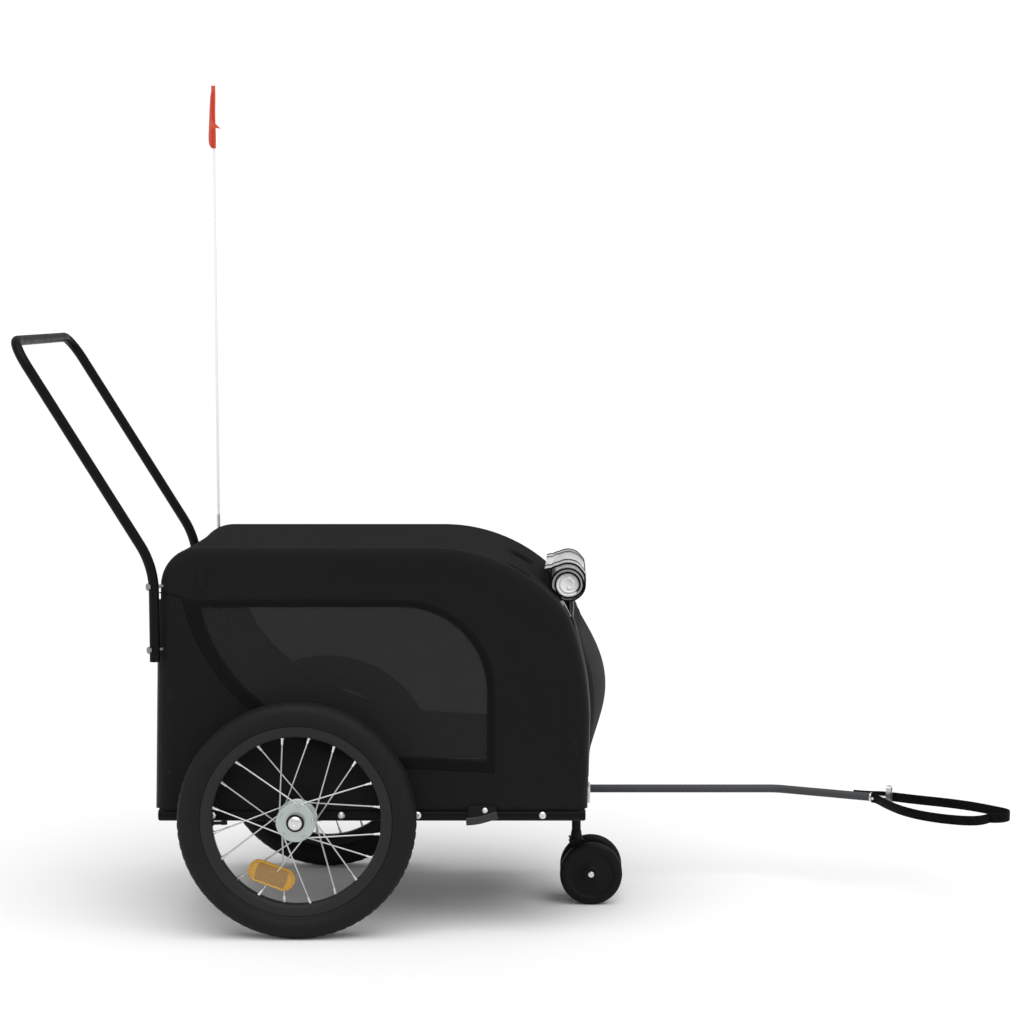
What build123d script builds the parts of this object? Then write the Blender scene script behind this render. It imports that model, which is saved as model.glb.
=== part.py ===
"""Pet bike trailer: a fabric cabin on a tube frame, two spoked wheels, a front caster,
a push handle, and a tow arm with its hitch eye and safety strap.

Millimetres. +X points forward to the hitch, +Z up, the ground is Z = 0 and the
trailer's middle plane is Y = 0. Its right-hand side is -Y.
"""
from build123d import *
from math import sin, cos, tan, acos, radians, sqrt, pi
import os

os.makedirs("parts", exist_ok=True)

# ---------------------------------------------------------------- driving sizes
# Reach of the whole trailer, ahead of and behind the wheel axle
handle_reach = 476.0        # axle back to the rear of the handle's grip
strap_reach = 1234.0        # axle forward to the tip of the safety strap

# Running wheels
wheel_d = 400.0             # 16 inch wheel over its tyre
tyre_gap = 13.0             # between the cabin's side and the tyre
tyre_w = 44.0
tyre_h = 41.0               # tyre section, tread to rim edge
tyre_seat = 1.8             # tyre's bead over the rim's edge
tyre_flats = 6              # over the tread, from wall to wall
rim_w = 27.0
rim_depth = 18.0            # rim edge to spoke bed
rim_bed_w = 13.0
rim_wall_h = 6.0            # straight edge of the rim, under the tyre's bead
rim_draft = 1.0             # lean of that edge
spoke_count = 20
spoke_d = 2.6
spoke_cross = 58.0          # degrees round the flange, from a spoke's root to its tip
spoke_gather = 0.2          # share of the flange's spread that is left at the rim
spoke_root_in = 4.0         # flange edge to the spokes' roots
spoke_sides = 6
hub_flange_d = 66.0
hub_flange_gap = 34.0       # between the two flanges' middles
hub_flange_t = 3.0
hub_barrel_d = 26.0
hub_end = 3.0               # barrel beyond each flange
axle_d = 12.0
axle_cap_d = 23.0
axle_cap_t = 7.0
axle_cap_edge = 2.5
axle_gap = 1.0              # hub's ends to the bush and to the dome nut
axle_root_in = 2.0          # axle's root past the rail's inner side
axle_shoulder_d = 19.0      # bush between the rail and the hub

# Bottom frame of round tube
frame_tube_d = 20.0
frame_z = 200.0             # height of the tubes' centre lines
body_w = 470.0              # over the cabin's two sides
rail_over = 3.3             # rail ends beyond the arch tubes' feet
cross_inset = 13.0          # rail end to the end cross tube's centre line

# Cabin skin and its side outline, from the axle and from the ground
skin_t = 4.0
edge_r = 20.0               # rounded edges between the side panels and the rest
arch_tube_d = 16.0
roof_z = 652.0
rear_corner_x = -164.6      # centre of the rounded rear top corner
rear_corner_r = 65.0
rear_lean = 1.3             # degrees; the rear wall's foot stands further back
brow_x = 223.4              # where the roof starts to curve down
shoulder_r = 290.0
brow_r = 120.0
nose_r = 468.0
shoulder_turn = 46.0        # degrees of fall at the end of each of the three arcs
brow_turn = 70.0
nose_turn = 91.5

# Side windows
window_rear_top = (-161.6, 553.5)
window_rear_mid = (-128.6, 469.4)
window_rear_low = (-55.0, 390.0)
window_sill_rear = (158.4, 302.5)
window_front_x = 316.9
window_sill_z = 293.5
window_corner_r = 142.0
binding_w = 12.0            # along the top, the front and its corner
binding_sill_w = 20.0
binding_rear_w = 30.0
binding_t = 1.6
mesh_t = 1.2

# Floor board
floor_t = 4.0
floor_side_gap = 2.0        # to the arch tubes beside it

# Front door and rear panel
door_w = 350.0
door_low = 250.0
door_high = 524.0
door_t = 4.0
door_bulge = 30.0
door_gap = 5.0
door_hem_d = 8.0
door_corner_r = 45.0
rear_mesh_w = 340.0
rear_mesh_low = 250.0
rear_mesh_high = 560.0
rear_mesh_corner_r = 60.0
panel_crown = 2.0           # bow of both panels' ends
rear_bulge = 12.0

# Rolled rain cover over the front door
roll_d = 58.0
roll_len = 258.0
roll_strap_w = 20.0
roll_strap_t = 1.5
roll_strap_gap = 150.0      # between the two straps

# Push handle
handle_tube_d = 17.0
handle_leg_out = 3.0        # legs' centre lines beyond the cabin's sides
handle_leg_x = -237.6       # from the axle
handle_foot_z = 462.0
handle_bend_z = 622.0
handle_top_z = 996.0
handle_bend_r = 150.0
handle_corner_r = 48.0
handle_bolt_d = 6.0
handle_bolt_z = (482.0, 588.0)
bolt_head_t = 3.0
bolt_head_d = 12.0
bolt_stand = 0.8            # the upper heads bridge the start of the legs' bend

# Tow arm, hitch eye and safety strap
arm_d = 15.0
arm_z = 155.6
arm_under = 233.9           # rail's front end back to the arm's rear end
arm_bend_x = 840.0
arm_end = (1006.0, 145.0)
arm_bend_r = 60.0
clamp_back = (198.9, 43.9)  # rail's front end back to the two clamps
clamp_len = 28.0
clamp_w = 20.0
collar_d = 17.0             # ring on the arm's tip
collar_t = 3.0
eye_rod_d = 9.0
eye_rod_len = 32.0
eye_w = 15.0
eye_t = 8.0
eye_low = 142.0
eye_len = 38.0
eye_hole_d = 8.5
strap_h = 17.0
strap_t = 3.0
strap_pin_d = 5.0
strap_pin_ahead = 8.0       # arm's tip forward to the pin that holds the strap's ends
strap_pin_len = 26.0
strap_lap = (36.0, 6.0)     # strap's far run lies along the arm between these, back from the tip
strap_near_run = (4.0, 12.0)  # and its near run beside the rod, ahead of the tip
strap_far_way = ((1032.0, 157.0), (1080.0, 124.0), (1141.0, 90.0), (1190.0, 52.0))
strap_near_way = ((1176.0, -66.0), (1134.0, -62.0), (1084.0, -30.0), (1048.0, 18.0), (1025.0, 84.0))
strap_tip_r = 30.0          # round tip of the strap's loop
strap_tip_y = -12.0

# Front caster
caster_d = 110.0
caster_wheel_w = 22.0
caster_pitch = 66.0         # between the twin wheels' middle planes
caster_trail = 26.0
caster_socket_d = 16.0
caster_socket_in = 2.0      # socket's top below the cross tube's
caster_pin_d = 9.0
caster_pin_in = 6.0         # pin's end below the cross tube's middle
caster_collar_d = 22.0
caster_neck_d = 17.0        # collar's top, where it tapers to the socket
caster_collar_low = 112.0
caster_collar_high = 126.0
caster_axle_d = 8.0
caster_yoke_w = 34.0        # between the twin wheels, with room on both sides
caster_yoke_r = 14.5        # yoke round the axle
caster_hood_w = 3.0         # ribs either side of the yoke, over its outline
caster_axle_over = 2.0      # axle beyond each wheel's outer face
caster_edge = 5.5           # bevel of the tread's edges
caster_dish_r = 37.0        # recess in each wheel's faces
caster_dish = 2.6
caster_boss_r = 13.0

# Reflectors, side catches, flag
reflector_d = 36.0
reflector_t = 7.0
reflector_drop = 3.0        # door opening down to the front reflectors
rear_reflector_z = 262.0
rear_reflector_gap = 2.0    # to the rear mesh
wheel_reflector_size = (82.0, 38.0, 7.0)
wheel_reflector_at = (-42.0, -91.0)
wheel_reflector_turn = 20.0
wheel_reflector_out = 4.0   # its inner face, outward from the wheel's middle plane
catch_back = 208.9          # rail's front end back to the catch
catch_len = 51.0
catch_low = 186.0
catch_high = 216.0
catch_nose_z = 202.0
catch_t = 4.0
catch_lip = 6.0             # lip along the lower edge
catch_lip_t = 6.0
pole_d = 5.0
pole_x = -196.6             # from the axle
pole_low = 300.0
pole_high = 1450.0
pole_gap = 2.0              # to the side panel
flag_hoist = 110.0
flag_fly = 170.0
flag_drop = 4.0             # pole's tip down to the flag
flag_point = 0.6            # share of the hoist above the flag's point
flag_t = 2.0
flag_swing = 8.0            # degrees that its point stands ahead of the pole
holder_z = (320.0, 592.0)   # lower edges of the two fabric holders
holder_w = 14.0
holder_h = 26.0
holder_wall = 2.0

# Clearances
seat = 0.1                  # fixed round seats
near = 0.3                  # soft or curved things that only just clear each other
run = 0.05                  # radial, turning fits
cut_over = 1.0              # how far a cutter reaches past what it cuts

# ---------------------------------------------------------------- derived places
axle_x = (handle_reach - strap_reach) / 2
half_w = body_w / 2
track = body_w + 2 * tyre_gap + tyre_w
wheel_r = wheel_d / 2
frame_r = frame_tube_d / 2
rail_y = half_w - frame_r
handle_leg_y = half_w + handle_leg_out
eye_high = eye_low + eye_len
frame_top = frame_z + frame_r
frame_low = frame_z - frame_r
arch_r = arch_tube_d / 2
arch_inset = edge_r - (edge_r - skin_t - arch_r - near) / sqrt(2)
arch_y = half_w - arch_inset
rim_r = wheel_r - tyre_h
spoke_bed_r = rim_r - rim_depth
BIG = 3000.0                # larger than the trailer, for cutting


def save(name, builder):
    """Label a finished piece and write its STEP file."""
    builder.part.label = name
    export_step(builder.part, f"parts/{name}.step")


def side_of(name):
    """-1 on the right-hand side, +1 on the left."""
    return -1 if name == "right" else 1


# ---------------------------------------------------------------- the cabin's outline
rear_c = (axle_x + rear_corner_x, roof_z - rear_corner_r)
shoulder_c = (axle_x + brow_x, roof_z - shoulder_r)


def turned(centre, r, turn):
    """Point on an arc that has fallen by turn degrees from level."""
    return (centre[0] + r * sin(radians(turn)), centre[1] + r * cos(radians(turn)))


shoulder_end = turned(shoulder_c, shoulder_r, shoulder_turn)
brow_c = turned(shoulder_end, -brow_r, shoulder_turn)
brow_end = turned(brow_c, brow_r, brow_turn)
nose_c = turned(brow_end, -nose_r, brow_turn)


def outline_ends(inset, foot_z):
    """Rear and front foot of the cabin's side outline."""
    lean = radians(rear_lean)
    r = rear_corner_r - inset
    rear_top = (rear_c[0] - r * cos(lean), rear_c[1] + r * sin(lean))
    fall = rear_top[1] - foot_z
    rear_foot = (rear_top[0] - fall * sin(lean) / cos(lean), foot_z)
    front_top = turned(nose_c, nose_r - inset, nose_turn)
    back = radians(nose_turn - 90)
    fall = front_top[1] - foot_z
    front_foot = (front_top[0] - fall * sin(back) / cos(back), foot_z)
    return rear_foot, rear_top, front_top, front_foot


def outline_edges(inset, foot_z):
    """Draw the cabin's side outline from rear foot to front foot."""
    rear_foot, rear_top, front_top, front_foot = outline_ends(inset, foot_z)
    Line(rear_foot, rear_top)
    CenterArc(rear_c, rear_corner_r - inset, 180 - rear_lean, rear_lean - 90)
    Line((rear_c[0], roof_z - inset), (shoulder_c[0], roof_z - inset))
    CenterArc(shoulder_c, shoulder_r - inset, 90, -shoulder_turn)
    CenterArc(brow_c, brow_r - inset, 90 - shoulder_turn, shoulder_turn - brow_turn)
    CenterArc(nose_c, nose_r - inset, 90 - brow_turn, brow_turn - nose_turn)
    Line(front_top, front_foot)


def front_x(z, inset=0.0):
    """X of the cabin's front face at height z, below the brow."""
    if z >= turned(nose_c, nose_r, nose_turn)[1]:
        return nose_c[0] + sqrt((nose_r - inset) ** 2 - (z - nose_c[1]) ** 2)
    rear_foot, rear_top, front_top, front_foot = outline_ends(inset, z)
    return front_foot[0]


def rear_x(z, inset=0.0):
    """X of the cabin's rear face at height z, below the rear corner."""
    return outline_ends(inset, z)[0][0]


rail_rear_x = outline_ends(arch_inset, frame_z)[0][0] - arch_r - rail_over
rail_front_x = outline_ends(arch_inset, frame_z)[3][0] + arch_r + rail_over


def cabin_block(inset, foot_z, name):
    """Solid of the cabin's form, inset from its outer face."""
    with BuildPart() as block:
        with BuildSketch(Plane.XZ):
            with BuildLine():
                outline_edges(inset, foot_z)
                ends = outline_ends(inset, foot_z)
                Line(ends[3], ends[0])
            make_face()
        extrude(amount=half_w - inset, both=True)
        rims = block.faces().filter_by(Axis.Y).edges()
        rims = rims.filter_by_position(Axis.Z, foot_z + 1, BIG)
        fillet(rims, radius=edge_r - inset)
    block.part.label = name
    return block.part


outer_block = cabin_block(0.0, frame_top, "outer")
inner_block = cabin_block(skin_t, frame_low, "inner")
panel_y = half_w - edge_r   # where the side panels meet the roof, rear and front


def skin_zone(points):
    """The skin's middle band inside a region of the side view."""
    with BuildPart() as zone:
        with BuildSketch(Plane.XZ):
            Polygon(*points, align=None)
        extrude(amount=panel_y, both=True)
        add(outer_block, mode=Mode.INTERSECT)
        add(inner_block, mode=Mode.SUBTRACT)
    return zone.part


shoulder_out = turned(shoulder_c, BIG, shoulder_turn)
# ---------------------------------------------------------------- roof, rear and front panels
with BuildPart() as roof_panel:
    add(skin_zone([(-BIG, rear_c[1]), rear_c, shoulder_c, shoulder_out, (-BIG, BIG)]))
save("roof_panel", roof_panel)

with BuildPart() as rear_panel:
    add(skin_zone([(-BIG, 0), (rear_c[0], 0), rear_c, (-BIG, rear_c[1])]))
    with BuildSketch(Plane.YZ.offset(rear_c[0])):
        with Locations((0, (rear_mesh_low + rear_mesh_high) / 2)):
            RectangleRounded(rear_mesh_w, rear_mesh_high - rear_mesh_low, rear_mesh_corner_r)
    extrude(amount=-BIG, mode=Mode.SUBTRACT)
save("rear_panel", rear_panel)

with BuildPart() as front_surround:
    add(skin_zone([(shoulder_c[0], 0), shoulder_c, shoulder_out, (BIG, 0)]))
    with BuildSketch(Plane.YZ.offset(shoulder_c[0])):
        opening_low = door_low - door_hem_d / 2 - near
        opening_high = door_high + door_gap
        with Locations((0, (opening_low + opening_high) / 2)):
            opening = Rectangle(door_w + 2 * door_gap, opening_high - opening_low)
        fillet(opening.vertices().group_by(Axis.Y)[-1], radius=door_corner_r + door_gap)
    extrude(amount=BIG, mode=Mode.SUBTRACT)
save("front_surround", front_surround)


# ---------------------------------------------------------------- handle bolts, through leg, skin and arch
leg_x = axle_x + handle_leg_x
grip_x = axle_x - handle_reach + handle_tube_d / 2

def bolt_line(s, z):
    """Bolt's start behind the leg, and its direction to the arch, at height z."""
    leg = Vector(leg_x, s * handle_leg_y, z)
    upright = Vector(rear_x(z, arch_inset), s * arch_y, z)
    return leg, (upright - leg).normalized(), (upright - leg).length


with BuildPart() as handle_bolts:
    for s in (-1, 1):
        for z in handle_bolt_z:
            leg, way, length = bolt_line(s, z)
            head_back = handle_tube_d / 2 + bolt_stand + bolt_head_t
            with BuildSketch(Plane(origin=leg - way * (head_back - bolt_head_t), z_dir=way)):
                Circle(handle_bolt_d / 2)
            extrude(amount=length + head_back - bolt_head_t)
            with BuildSketch(Plane(origin=leg - way * head_back, z_dir=way)):
                Circle(bolt_head_d / 2)
            extrude(amount=bolt_head_t)
save("handle_bolts", handle_bolts)

with BuildPart() as bolt_holes:
    for s in (-1, 1):
        for z in handle_bolt_z:
            leg, way, length = bolt_line(s, z)
            with BuildSketch(Plane(origin=leg - way * handle_tube_d, z_dir=way)):
                Circle(handle_bolt_d / 2 + seat)
            extrude(amount=length + handle_tube_d)


# ---------------------------------------------------------------- side panels and windows
def at(point):
    """A side-view point given from the axle, in the trailer's frame."""
    return (axle_x + point[0], point[1])


def window_edges(rear_w, sill_w, edge_w):
    """Draw a window outline, grown by its binding's widths."""
    top_z = window_rear_top[1] + edge_w
    front = axle_x + window_front_x + edge_w
    corner = (front - edge_w - window_corner_r, window_rear_top[1] - window_corner_r)
    rear_top = (at(window_rear_top)[0] - rear_w, top_z)
    grow = 0.75 * rear_w
    rear_mid = (at(window_rear_mid)[0] - grow, window_rear_mid[1] - 0.2 * rear_w)
    rear_low = (at(window_rear_low)[0] - grow, window_rear_low[1] - 0.35 * rear_w)
    sill_rear = (at(window_sill_rear)[0], window_sill_rear[1] - sill_w)
    rear_arc = ThreePointArc(rear_top, rear_mid, rear_low)
    TangentArc(rear_low, sill_rear, tangent=rear_arc % 1)
    Line(sill_rear, (front, window_sill_z - sill_w))
    Line((front, window_sill_z - sill_w), (front, corner[1]))
    CenterArc(corner, window_corner_r + edge_w, 0, 90)
    Line((corner[0], top_z), rear_top)


for name in ("right", "left"):
    s = side_of(name)
    with BuildPart() as side_panel:
        add(outer_block)
        add(inner_block, mode=Mode.SUBTRACT)
        split(bisect_by=Plane.XZ.offset(-s * panel_y), keep=Keep.TOP if s < 0 else Keep.BOTTOM)
        with BuildSketch(Plane.XZ.offset(-s * panel_y)):
            with BuildLine():
                window_edges(0, 0, 0)
            make_face()
        extrude(amount=-s * BIG, mode=Mode.SUBTRACT)
        add(bolt_holes.part, mode=Mode.SUBTRACT)
    save(f"side_panel_{name}", side_panel)

    with BuildPart() as window_mesh:
        with BuildSketch(Plane.XZ.offset(-s * (half_w - skin_t / 2 - mesh_t / 2))):
            with BuildLine():
                window_edges(0, 0, 0)
            make_face()
            offset(amount=-near, kind=Kind.INTERSECTION)
        extrude(amount=-s * mesh_t)
    save(f"window_mesh_{name}", window_mesh)

    with BuildPart() as window_binding:
        with BuildSketch(Plane.XZ.offset(-s * half_w)):
            with BuildLine():
                window_edges(binding_rear_w, binding_sill_w, binding_w)
            make_face()
            with BuildLine():
                window_edges(0, 0, 0)
            make_face(mode=Mode.SUBTRACT)
        extrude(amount=-s * binding_t)
    save(f"window_binding_{name}", window_binding)


# ---------------------------------------------------------------- bulged front door and rear mesh
def bulged_panel(face_x, outward, low, high, width, bulge, steps=6):
    """A thin panel lofted through crowned level sections; outward is +1 ahead, -1 behind."""
    side = width / 2
    with BuildPart() as panel:
        for k in range(steps + 1):
            z = low + (high - low) * k / steps
            crown = outward * (panel_crown + bulge * sin(pi * k / steps))
            edge = face_x(z)
            inner = edge - outward * door_t
            with BuildSketch(Plane.XY.offset(z)):
                with BuildLine():
                    Spline((edge, -side), (edge + crown, 0), (edge, side))
                    Line((edge, side), (inner, side))
                    Spline((inner, side), (inner + crown, 0), (inner, -side))
                    Line((inner, -side), (edge, -side))
                make_face()
        loft()
    return panel.part


hinge_x = front_x(door_low)
with BuildPart() as front_door:
    add(bulged_panel(front_x, 1, door_low - near, door_high + near, door_w + 2 * near, door_bulge))
    with BuildSketch(Plane.YZ.offset(shoulder_c[0])):
        with Locations((0, (door_low + door_high) / 2)):
            outline = Rectangle(door_w, door_high - door_low)
        fillet(outline.vertices().group_by(Axis.Y)[-1], radius=door_corner_r)
    extrude(amount=BIG, mode=Mode.INTERSECT)
    with BuildSketch(Plane.XZ.offset(-door_w / 2)):
        with Locations((hinge_x, door_low)):
            Circle(door_hem_d / 2)
    extrude(amount=door_w)
save("front_door", front_door)

with BuildPart() as rear_mesh:
    add(bulged_panel(rear_x, -1, rear_mesh_low, rear_mesh_high, rear_mesh_w, rear_bulge))
    with BuildSketch(Plane.YZ.offset(rear_c[0])):
        with Locations((0, (rear_mesh_low + rear_mesh_high) / 2)):
            RectangleRounded(rear_mesh_w - 2 * near, rear_mesh_high - rear_mesh_low - 2 * near,
                             rear_mesh_corner_r - near)
    extrude(amount=-BIG, mode=Mode.INTERSECT)
save("rear_mesh", rear_mesh)

# ---------------------------------------------------------------- rolled rain cover and its straps
roll_r = roll_d / 2
roll_c = turned(shoulder_end, roll_r + roll_strap_t + 2 * near, shoulder_turn)
with BuildPart() as rolled_cover:
    with BuildSketch(Plane.XZ.offset(-roll_len / 2)):
        with Locations(roll_c):
            Circle(roll_r)
    extrude(amount=roll_len)
save("rolled_cover", rolled_cover)

with BuildPart() as cover_straps:
    for y in (-roll_strap_gap / 2, roll_strap_gap / 2):
        with BuildSketch(Plane.XZ.offset(y - roll_strap_w / 2)):
            with Locations(roll_c):
                Circle(roll_r + near + roll_strap_t)
                Circle(roll_r + near, mode=Mode.SUBTRACT)
        extrude(amount=roll_strap_w)
save("cover_straps", cover_straps)


# ---------------------------------------------------------------- bottom frame and cabin arches
def rail_cutter(extra):
    """Both rails' cylinders, for saddle cuts."""
    with BuildPart() as cutter:
        for y in (-rail_y, rail_y):
            with BuildSketch(Plane.YZ.offset(rail_rear_x - cut_over)):
                with Locations((y, frame_z)):
                    Circle(frame_r + extra)
            extrude(amount=rail_front_x - rail_rear_x + 2 * cut_over)
    return cutter.part


saddles = rail_cutter(seat)
axle_root_y = rail_y - frame_r + axle_root_in
for name in ("right", "left"):
    s = side_of(name)
    with BuildPart() as rail:
        with BuildSketch(Plane.YZ.offset(rail_rear_x)):
            with Locations((s * rail_y, frame_z)):
                Circle(frame_r)
        extrude(amount=rail_front_x - rail_rear_x)
        with BuildSketch(Plane.XZ.offset(-s * axle_root_y)):
            with Locations((axle_x, frame_z)):
                Circle(axle_d / 2 + seat)
        extrude(amount=-s * frame_tube_d, mode=Mode.SUBTRACT)
    save(f"rail_{name}", rail)

cross_x = {
    "rear": rail_rear_x + cross_inset,
    "axle": axle_x + cross_inset + axle_d,
    "front": rail_front_x - cross_inset,
}
for name, x in cross_x.items():
    with BuildPart() as cross_tube:
        with BuildSketch(Plane.XZ.offset(-rail_y)):
            with Locations((x, frame_z)):
                Circle(frame_r)
        extrude(amount=2 * rail_y)
        add(saddles, mode=Mode.SUBTRACT)
        for foot in (outline_ends(arch_inset, frame_z)[0], outline_ends(arch_inset, frame_z)[3]):
            with Locations((foot[0], -arch_y, frame_z), (foot[0], arch_y, frame_z)):
                Cylinder(arch_r + near, frame_tube_d + 2 * cut_over, mode=Mode.SUBTRACT)
        if name == "front":
            with Locations((x, 0, frame_z)):
                Cylinder(caster_socket_d / 2 + seat, frame_tube_d + 2 * cut_over, mode=Mode.SUBTRACT)
    save(f"cross_tube_{name}", cross_tube)

for name in ("right", "left"):
    s = side_of(name)
    with BuildPart() as arch:
        with BuildLine(Plane.XZ.offset(-s * arch_y)) as arch_path:
            outline_edges(arch_inset, frame_z)
        foot = outline_ends(arch_inset, frame_z)[0]
        with BuildSketch(Plane(origin=(foot[0], s * arch_y, foot[1]), z_dir=arch_path.line % 0)):
            Circle(arch_r)
        sweep(path=arch_path.line)
        add(saddles, mode=Mode.SUBTRACT)
        add(bolt_holes.part, mode=Mode.SUBTRACT)
    save(f"arch_{name}", arch)

bar_z = roof_z - arch_inset
bar_stations = (rear_c[0], shoulder_c[0])
with BuildPart() as arch_cutter:
    for y in (-arch_y, arch_y):
        with BuildSketch(Plane.YZ.offset(rear_c[0] - arch_tube_d)):
            with Locations((y, bar_z)):
                Circle(arch_r + seat)
        extrude(amount=shoulder_c[0] - rear_c[0] + 2 * arch_tube_d)
with BuildPart() as roof_bars:
    for x in (bar_stations[0] + arch_tube_d, bar_stations[1] - arch_tube_d):
        with BuildSketch(Plane.XZ.offset(-arch_y)):
            with Locations((x, bar_z)):
                Circle(arch_r)
        extrude(amount=2 * arch_y)
    add(arch_cutter.part, mode=Mode.SUBTRACT)
save("roof_bars", roof_bars)

floor_y = arch_y - arch_r - floor_side_gap
floor_rear_x = rear_x(frame_top, skin_t) + near
floor_front_x = front_x(frame_top, skin_t) - near
with BuildPart() as floor_board:
    with BuildSketch(Plane.XY.offset(frame_top)):
        with Locations(((floor_rear_x + floor_front_x) / 2, 0)):
            Rectangle(floor_front_x - floor_rear_x, 2 * floor_y)
    extrude(amount=floor_t)
save("floor_board", floor_board)

# ---------------------------------------------------------------- push handle
with BuildPart() as handle:
    with BuildLine() as handle_path:
        FilletPolyline(
            (leg_x, -handle_leg_y, handle_foot_z),
            (leg_x, -handle_leg_y, handle_bend_z),
            (grip_x, -handle_leg_y, handle_top_z),
            (grip_x, handle_leg_y, handle_top_z),
            (leg_x, handle_leg_y, handle_bend_z),
            (leg_x, handle_leg_y, handle_foot_z),
            radius=[handle_bend_r, handle_corner_r, handle_corner_r, handle_bend_r],
        )
    with BuildSketch(Plane.XY.offset(handle_foot_z)):
        with Locations((leg_x, -handle_leg_y)):
            Circle(handle_tube_d / 2)
    sweep(path=handle_path.line)
    add(bolt_holes.part, mode=Mode.SUBTRACT)
save("handle", handle)

# ---------------------------------------------------------------- tow arm, its clamps, hitch eye and strap
arm_line_y = rail_y
arm_tip = Vector(axle_x + arm_end[0], arm_end[1], arm_z)
arm_knee = Vector(axle_x + arm_bend_x, arm_line_y, arm_z)
arm_way = (arm_tip - arm_knee).normalized()
with BuildPart() as tow_arm:
    with BuildLine() as arm_path:
        FilletPolyline((rail_front_x - arm_under, arm_line_y, arm_z), tuple(arm_knee), tuple(arm_tip),
                       radius=arm_bend_r)
    with BuildSketch(Plane.YZ.offset(rail_front_x - arm_under)):
        with Locations((arm_line_y, arm_z)):
            Circle(arm_d / 2)
    sweep(path=arm_path.line)
save("tow_arm", tow_arm)

with BuildPart() as arm_clamps:
    for back in clamp_back:
        with BuildSketch(Plane.YZ.offset(rail_front_x - back - clamp_len / 2)):
            with Locations((arm_line_y, (frame_z + arm_z) / 2)):
                Rectangle(clamp_w, frame_z - arm_z)
            with Locations((arm_line_y, arm_z)):
                Circle(clamp_w / 2)
                Circle(arm_d / 2 + seat, mode=Mode.SUBTRACT)
        extrude(amount=clamp_len)
    add(saddles, mode=Mode.SUBTRACT)
save("arm_clamps", arm_clamps)

eye_face = arm_tip + arm_way * eye_rod_len
arm_side = Vector(0, 0, 1).cross(arm_way)
pin_at = arm_tip + arm_way * strap_pin_ahead
with BuildPart() as hitch_eye:
    with BuildSketch(Plane(origin=arm_tip, x_dir=arm_side, z_dir=arm_way)):
        Circle(collar_d / 2)
    extrude(amount=collar_t)
    with BuildSketch(Plane(origin=arm_tip, x_dir=arm_side, z_dir=arm_way)):
        Circle(eye_rod_d / 2)
    extrude(amount=eye_rod_len + eye_t / 2)
    with BuildSketch(Plane(origin=eye_face, x_dir=arm_side, z_dir=arm_way)):
        with Locations((0, (eye_low + eye_high) / 2 - arm_z)):
            SlotOverall(eye_high - eye_low, eye_w, rotation=90)
        with Locations((0, eye_high - eye_w / 2 - arm_z)):
            Circle(eye_hole_d / 2, mode=Mode.SUBTRACT)
    extrude(amount=eye_t)
    with BuildSketch(Plane(origin=pin_at - arm_side * strap_pin_len / 2, z_dir=arm_side)):
        Circle(strap_pin_d / 2)
    extrude(amount=strap_pin_len)
save("hitch_eye", hitch_eye)


def soft_radii(points):
    """Corner radii of a soft strap's route: each as large as its two runs allow."""
    radii = []
    for before, corner, after in zip(points, points[1:], points[2:]):
        run_in, run_out = corner - before, after - corner
        turn = radians(run_in.get_angle(run_out))
        radii.append(0.45 * min(run_in.length, run_out.length) / tan(turn / 2))
    return radii


def touch_point(outside, centre, r, turn):
    """Where the line from an outside point touches a circle; turn is +1 or -1 for its two sides."""
    reach = outside - centre
    swing = radians(reach.get_angle(Vector(1, 0, 0))) * (1 if reach.Y > 0 else -1)
    around = swing - turn * acos(r / reach.length)
    return centre + Vector(r * cos(around), r * sin(around), 0)


far_side = collar_d / 2 + strap_t / 2 + near
near_side = eye_rod_d / 2 + strap_t / 2 + near
tip_c = Vector(axle_x + strap_reach - strap_t / 2 - strap_tip_r, strap_tip_y, arm_z)
far_route = [arm_tip - arm_way * back + arm_side * far_side for back in strap_lap]
far_route += [Vector(axle_x + x, y, arm_z) for x, y in strap_far_way]
near_route = [Vector(axle_x + x, y, arm_z) for x, y in strap_near_way]
near_route += [arm_tip + arm_way * ahead - arm_side * near_side for ahead in reversed(strap_near_run)]
far_route.append(touch_point(far_route[-1], tip_c, strap_tip_r, 1))
near_route.insert(0, touch_point(near_route[0], tip_c, strap_tip_r, -1))
with BuildPart() as safety_strap:
    with BuildLine(Plane.XY.offset(arm_z - strap_h / 2)) as strap_line:
        for route in (far_route, near_route):
            FilletPolyline(*[(p.X, p.Y) for p in route], radius=soft_radii(route))
        tip_start, tip_end = far_route[-1], near_route[0]
        ThreePointArc((tip_start.X, tip_start.Y), (tip_c.X + strap_tip_r, tip_c.Y), (tip_end.X, tip_end.Y))
    with BuildSketch(Plane.XY.offset(arm_z - strap_h / 2)):
        trace(lines=strap_line.line, line_width=strap_t)
    extrude(amount=strap_h)
    with BuildSketch(Plane(origin=pin_at - arm_side * strap_pin_len, z_dir=arm_side)):
        Circle(strap_pin_d / 2 + seat)
    extrude(amount=2 * strap_pin_len, mode=Mode.SUBTRACT)
save("safety_strap", safety_strap)

# ---------------------------------------------------------------- front caster
stem_x = cross_x["front"]
wheel_c = (stem_x + caster_trail, caster_d / 2)
with BuildPart() as caster_socket:
    with BuildSketch(Plane.XY.offset(caster_collar_high + near)):
        with Locations((stem_x, 0)):
            Circle(caster_socket_d / 2)
    extrude(amount=frame_top - caster_socket_in - caster_collar_high - near)
    with BuildSketch(Plane.XY.offset(caster_collar_high + near)):
        with Locations((stem_x, 0)):
            Circle(caster_pin_d / 2 + run)
    extrude(amount=frame_z - caster_collar_high, mode=Mode.SUBTRACT)
save("caster_socket", caster_socket)


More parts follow.
